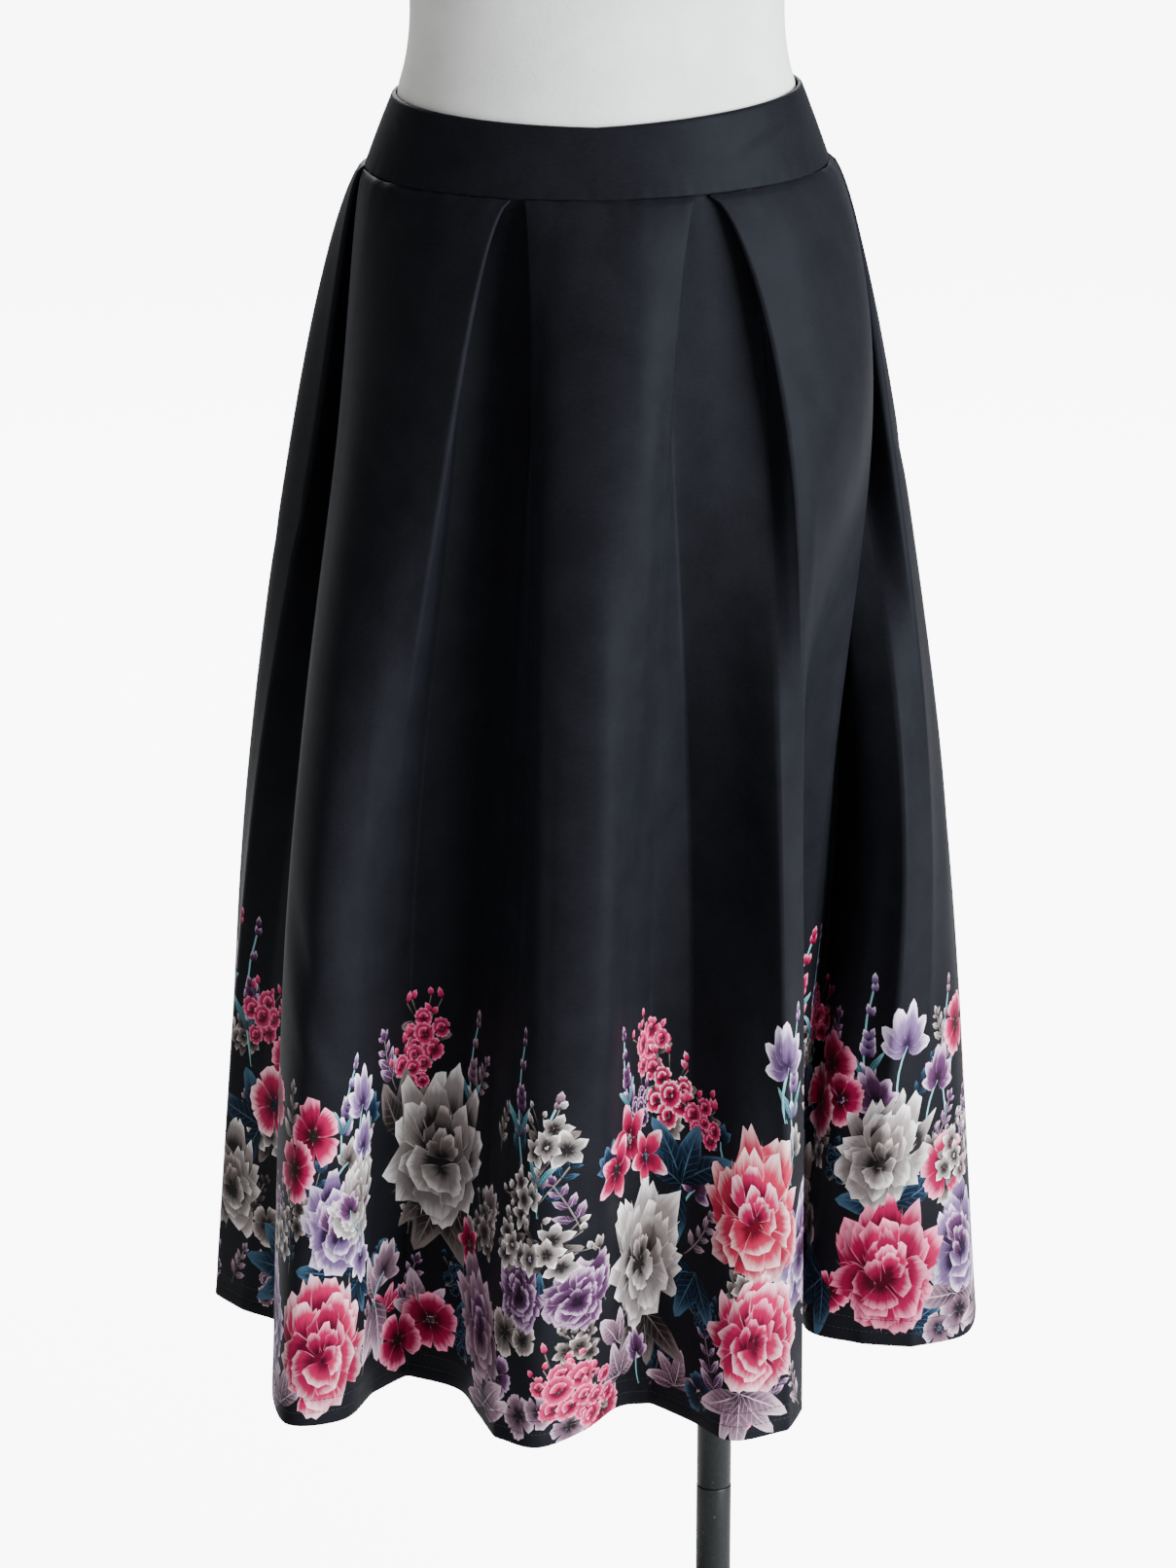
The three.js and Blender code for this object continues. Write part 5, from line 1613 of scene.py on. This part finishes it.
def base_collar():
    """Turned collar on the base plate: a rim, a sloping shoulder and a neck around the pole."""
    bore = POLE["lower_radius"] + SEAM_GAP
    at = [POLE["x"], 0, POLE_FOOT]
    collar = start_disc("base_collar_fitting", at, BASE_COLLAR["radius"], 64)
    pull(BASE_COLLAR["rim"])
    pull(BASE_COLLAR["shoulder"] - BASE_COLLAR["rim"])
    shrink = BASE_COLLAR["neck_radius"] / BASE_COLLAR["radius"]
    widen(at, shrink, shrink)
    pull(BASE_COLLAR["height"] - BASE_COLLAR["shoulder"])
    inset(BASE_COLLAR["neck_radius"] - bore)
    pull(-BASE_COLLAR["height"])
    bpy.ops.mesh.delete(type="FACE")
    pick(collar, "faces", lambda middle, face: len(face.verts) > 12 and middle.z < POLE_FOOT + 1)
    bpy.ops.mesh.delete(type="ONLY_FACE")
    pick(collar, "edges", lambda middle, edge: edge.is_boundary)
    bpy.ops.mesh.bridge_edge_loops()
    bevel_rims(collar, [POLE_FOOT + BASE_COLLAR["height"]], 0.8)
    bevel_rims(collar, [POLE_FOOT + BASE_COLLAR["rim"], POLE_FOOT + BASE_COLLAR["shoulder"]], 0.6)
    finish_piece(collar, BASE_FINISH, "base_collar")


def base_plate():
    """A heavy round plate with an eased top edge."""
    plate = start_disc("base_plate_disc", [0, 0, 0], BASE_PLATE["radius"], 160)
    pull(BASE_PLATE["thickness"])
    bevel_rims(plate, [BASE_PLATE["thickness"]], BASE_PLATE["edge"], 5)
    bevel_rims(plate, [0], 1.0, 2)
    pick(plate, "faces", lambda middle, face: len(face.verts) > 12)
    inset(12)
    finish_piece(plate, BASE_FINISH, "base_plate")


# ---------- the pieces ----------

def place_cloth(piece, node, finish):
    """Gives a piece of cloth or thread its finish and its place in the frame."""
    piece.data.materials.append(finish)
    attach(piece, "root")
    if node:
        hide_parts(node)


HALF_GAP = SEAM_GAP / 2
SEAM_LAP = 0.1                    # the sewn pieces close over each other at the side seams
FRONT_EDGES = (-SIDE_SEAM - SEAM_LAP, SIDE_SEAM + SEAM_LAP)
BACK_EDGES = (SIDE_SEAM - SEAM_LAP, HEM_CLOTH - SIDE_SEAM + SEAM_LAP)
front = skirt_cloth("skirt_front_cloth", *FRONT_EDGES)
back = skirt_cloth("skirt_back_cloth", *BACK_EDGES)
front_stitches = hem_stitches("skirt_front_hem_stitches", *FRONT_EDGES)
back_stitches = hem_stitches("skirt_back_hem_stitches", *BACK_EDGES)
place_cloth(front, "skirt_front", SKIRT_FINISH)
place_cloth(back, "skirt_back", SKIRT_FINISH)
place_cloth(front_stitches, None, THREAD_FINISH)
place_cloth(back_stitches, None, THREAD_FINISH)

QUARTER = math.pi / 2
BAND_GAP = HALF_GAP / BAND["half_depth"]
band_front = band_cloth("waistband_front_cloth", -QUARTER + BAND_GAP, QUARTER - BAND_GAP)
band_back = band_cloth("waistband_back_cloth", QUARTER + BAND_GAP, 3 * QUARTER - BAND_GAP)
place_cloth(band_front, "waistband_front", BAND_FINISH)
place_cloth(band_back, "waistband_back", BAND_FINISH)

form_torso()
neck_cap()
stand_socket()
pole_length("stand_pole_upper_tube", "stand_pole_upper", POLE["joint_height"] + HALF_GAP, POLE_TOP,
            POLE["upper_radius"])
pole_length("stand_pole_lower_tube", "stand_pole_lower", POLE_FOOT, POLE["joint_height"] - HALF_GAP,
            POLE["lower_radius"])
base_collar()
base_plate()

# ---------- floor, light and camera ----------

def lamp(name, at, aim, size, power, colour=(1, 1, 1)):
    """A soft rectangular lamp that faces a place."""
    data = bpy.data.lights.new(name, "AREA")
    data.shape = "RECTANGLE"
    data.size, data.size_y = size
    data.energy = power
    data.color = colour
    light = bpy.data.objects.new(name, data)
    light.location = at
    light.rotation_euler = (Vector(aim) - Vector(at)).to_track_quat("-Z", "Y").to_euler()
    bpy.context.scene.collection.objects.link(light)


bpy.ops.mesh.primitive_plane_add(size=14, location=(0, 0, 0))
floor = bpy.context.object
floor.name = "floor"
floor_material, floor_tree, floor_shader = fresh_material("floor")
floor_shader.inputs["Base Color"].default_value = (0.6, 0.6, 0.6, 1)
floor_shader.inputs["Roughness"].default_value = 0.9
floor_shader.inputs["Emission Color"].default_value = (1, 1, 1, 1)
seen = add_node(floor_tree, "ShaderNodeLightPath").outputs["Is Camera Ray"]
feed(floor_tree, floor_shader.inputs["Emission Strength"], calc(floor_tree, "MULTIPLY", seen, 8.0))
floor.data.materials.append(floor_material)

world = bpy.data.worlds.new("studio")
bpy.context.scene.world = world
world.use_nodes = True
sky = world.node_tree.nodes["Background"].inputs
sky["Color"].default_value = (1, 0.985, 0.96, 1)
seen = add_node(world.node_tree, "ShaderNodeLightPath").outputs["Is Camera Ray"]
feed(world.node_tree, sky["Strength"], ramp(world.node_tree, seen, 0.0, 1.0, 0.5, 9.0))
lamp("window", (3.0, -2.0, 1.55), (0, 0, 0.75), (2.6, 3.0), 560, (0.94, 0.97, 1))
lamp("behind", (-0.4, 3.2, 2.5), (0, 0, 0.7), (3.0, 1.8), 240)

camera_data = bpy.data.cameras.new("camera")
camera_data.sensor_width = 36
camera_data.lens = 116.129
camera = bpy.data.objects.new("camera", camera_data)
camera.location = (-0.0054, -3.0215, 1.7225)
camera.rotation_euler = (math.radians(90 - 19), 0, 0)
bpy.context.scene.collection.objects.link(camera)
bpy.context.scene.camera = camera
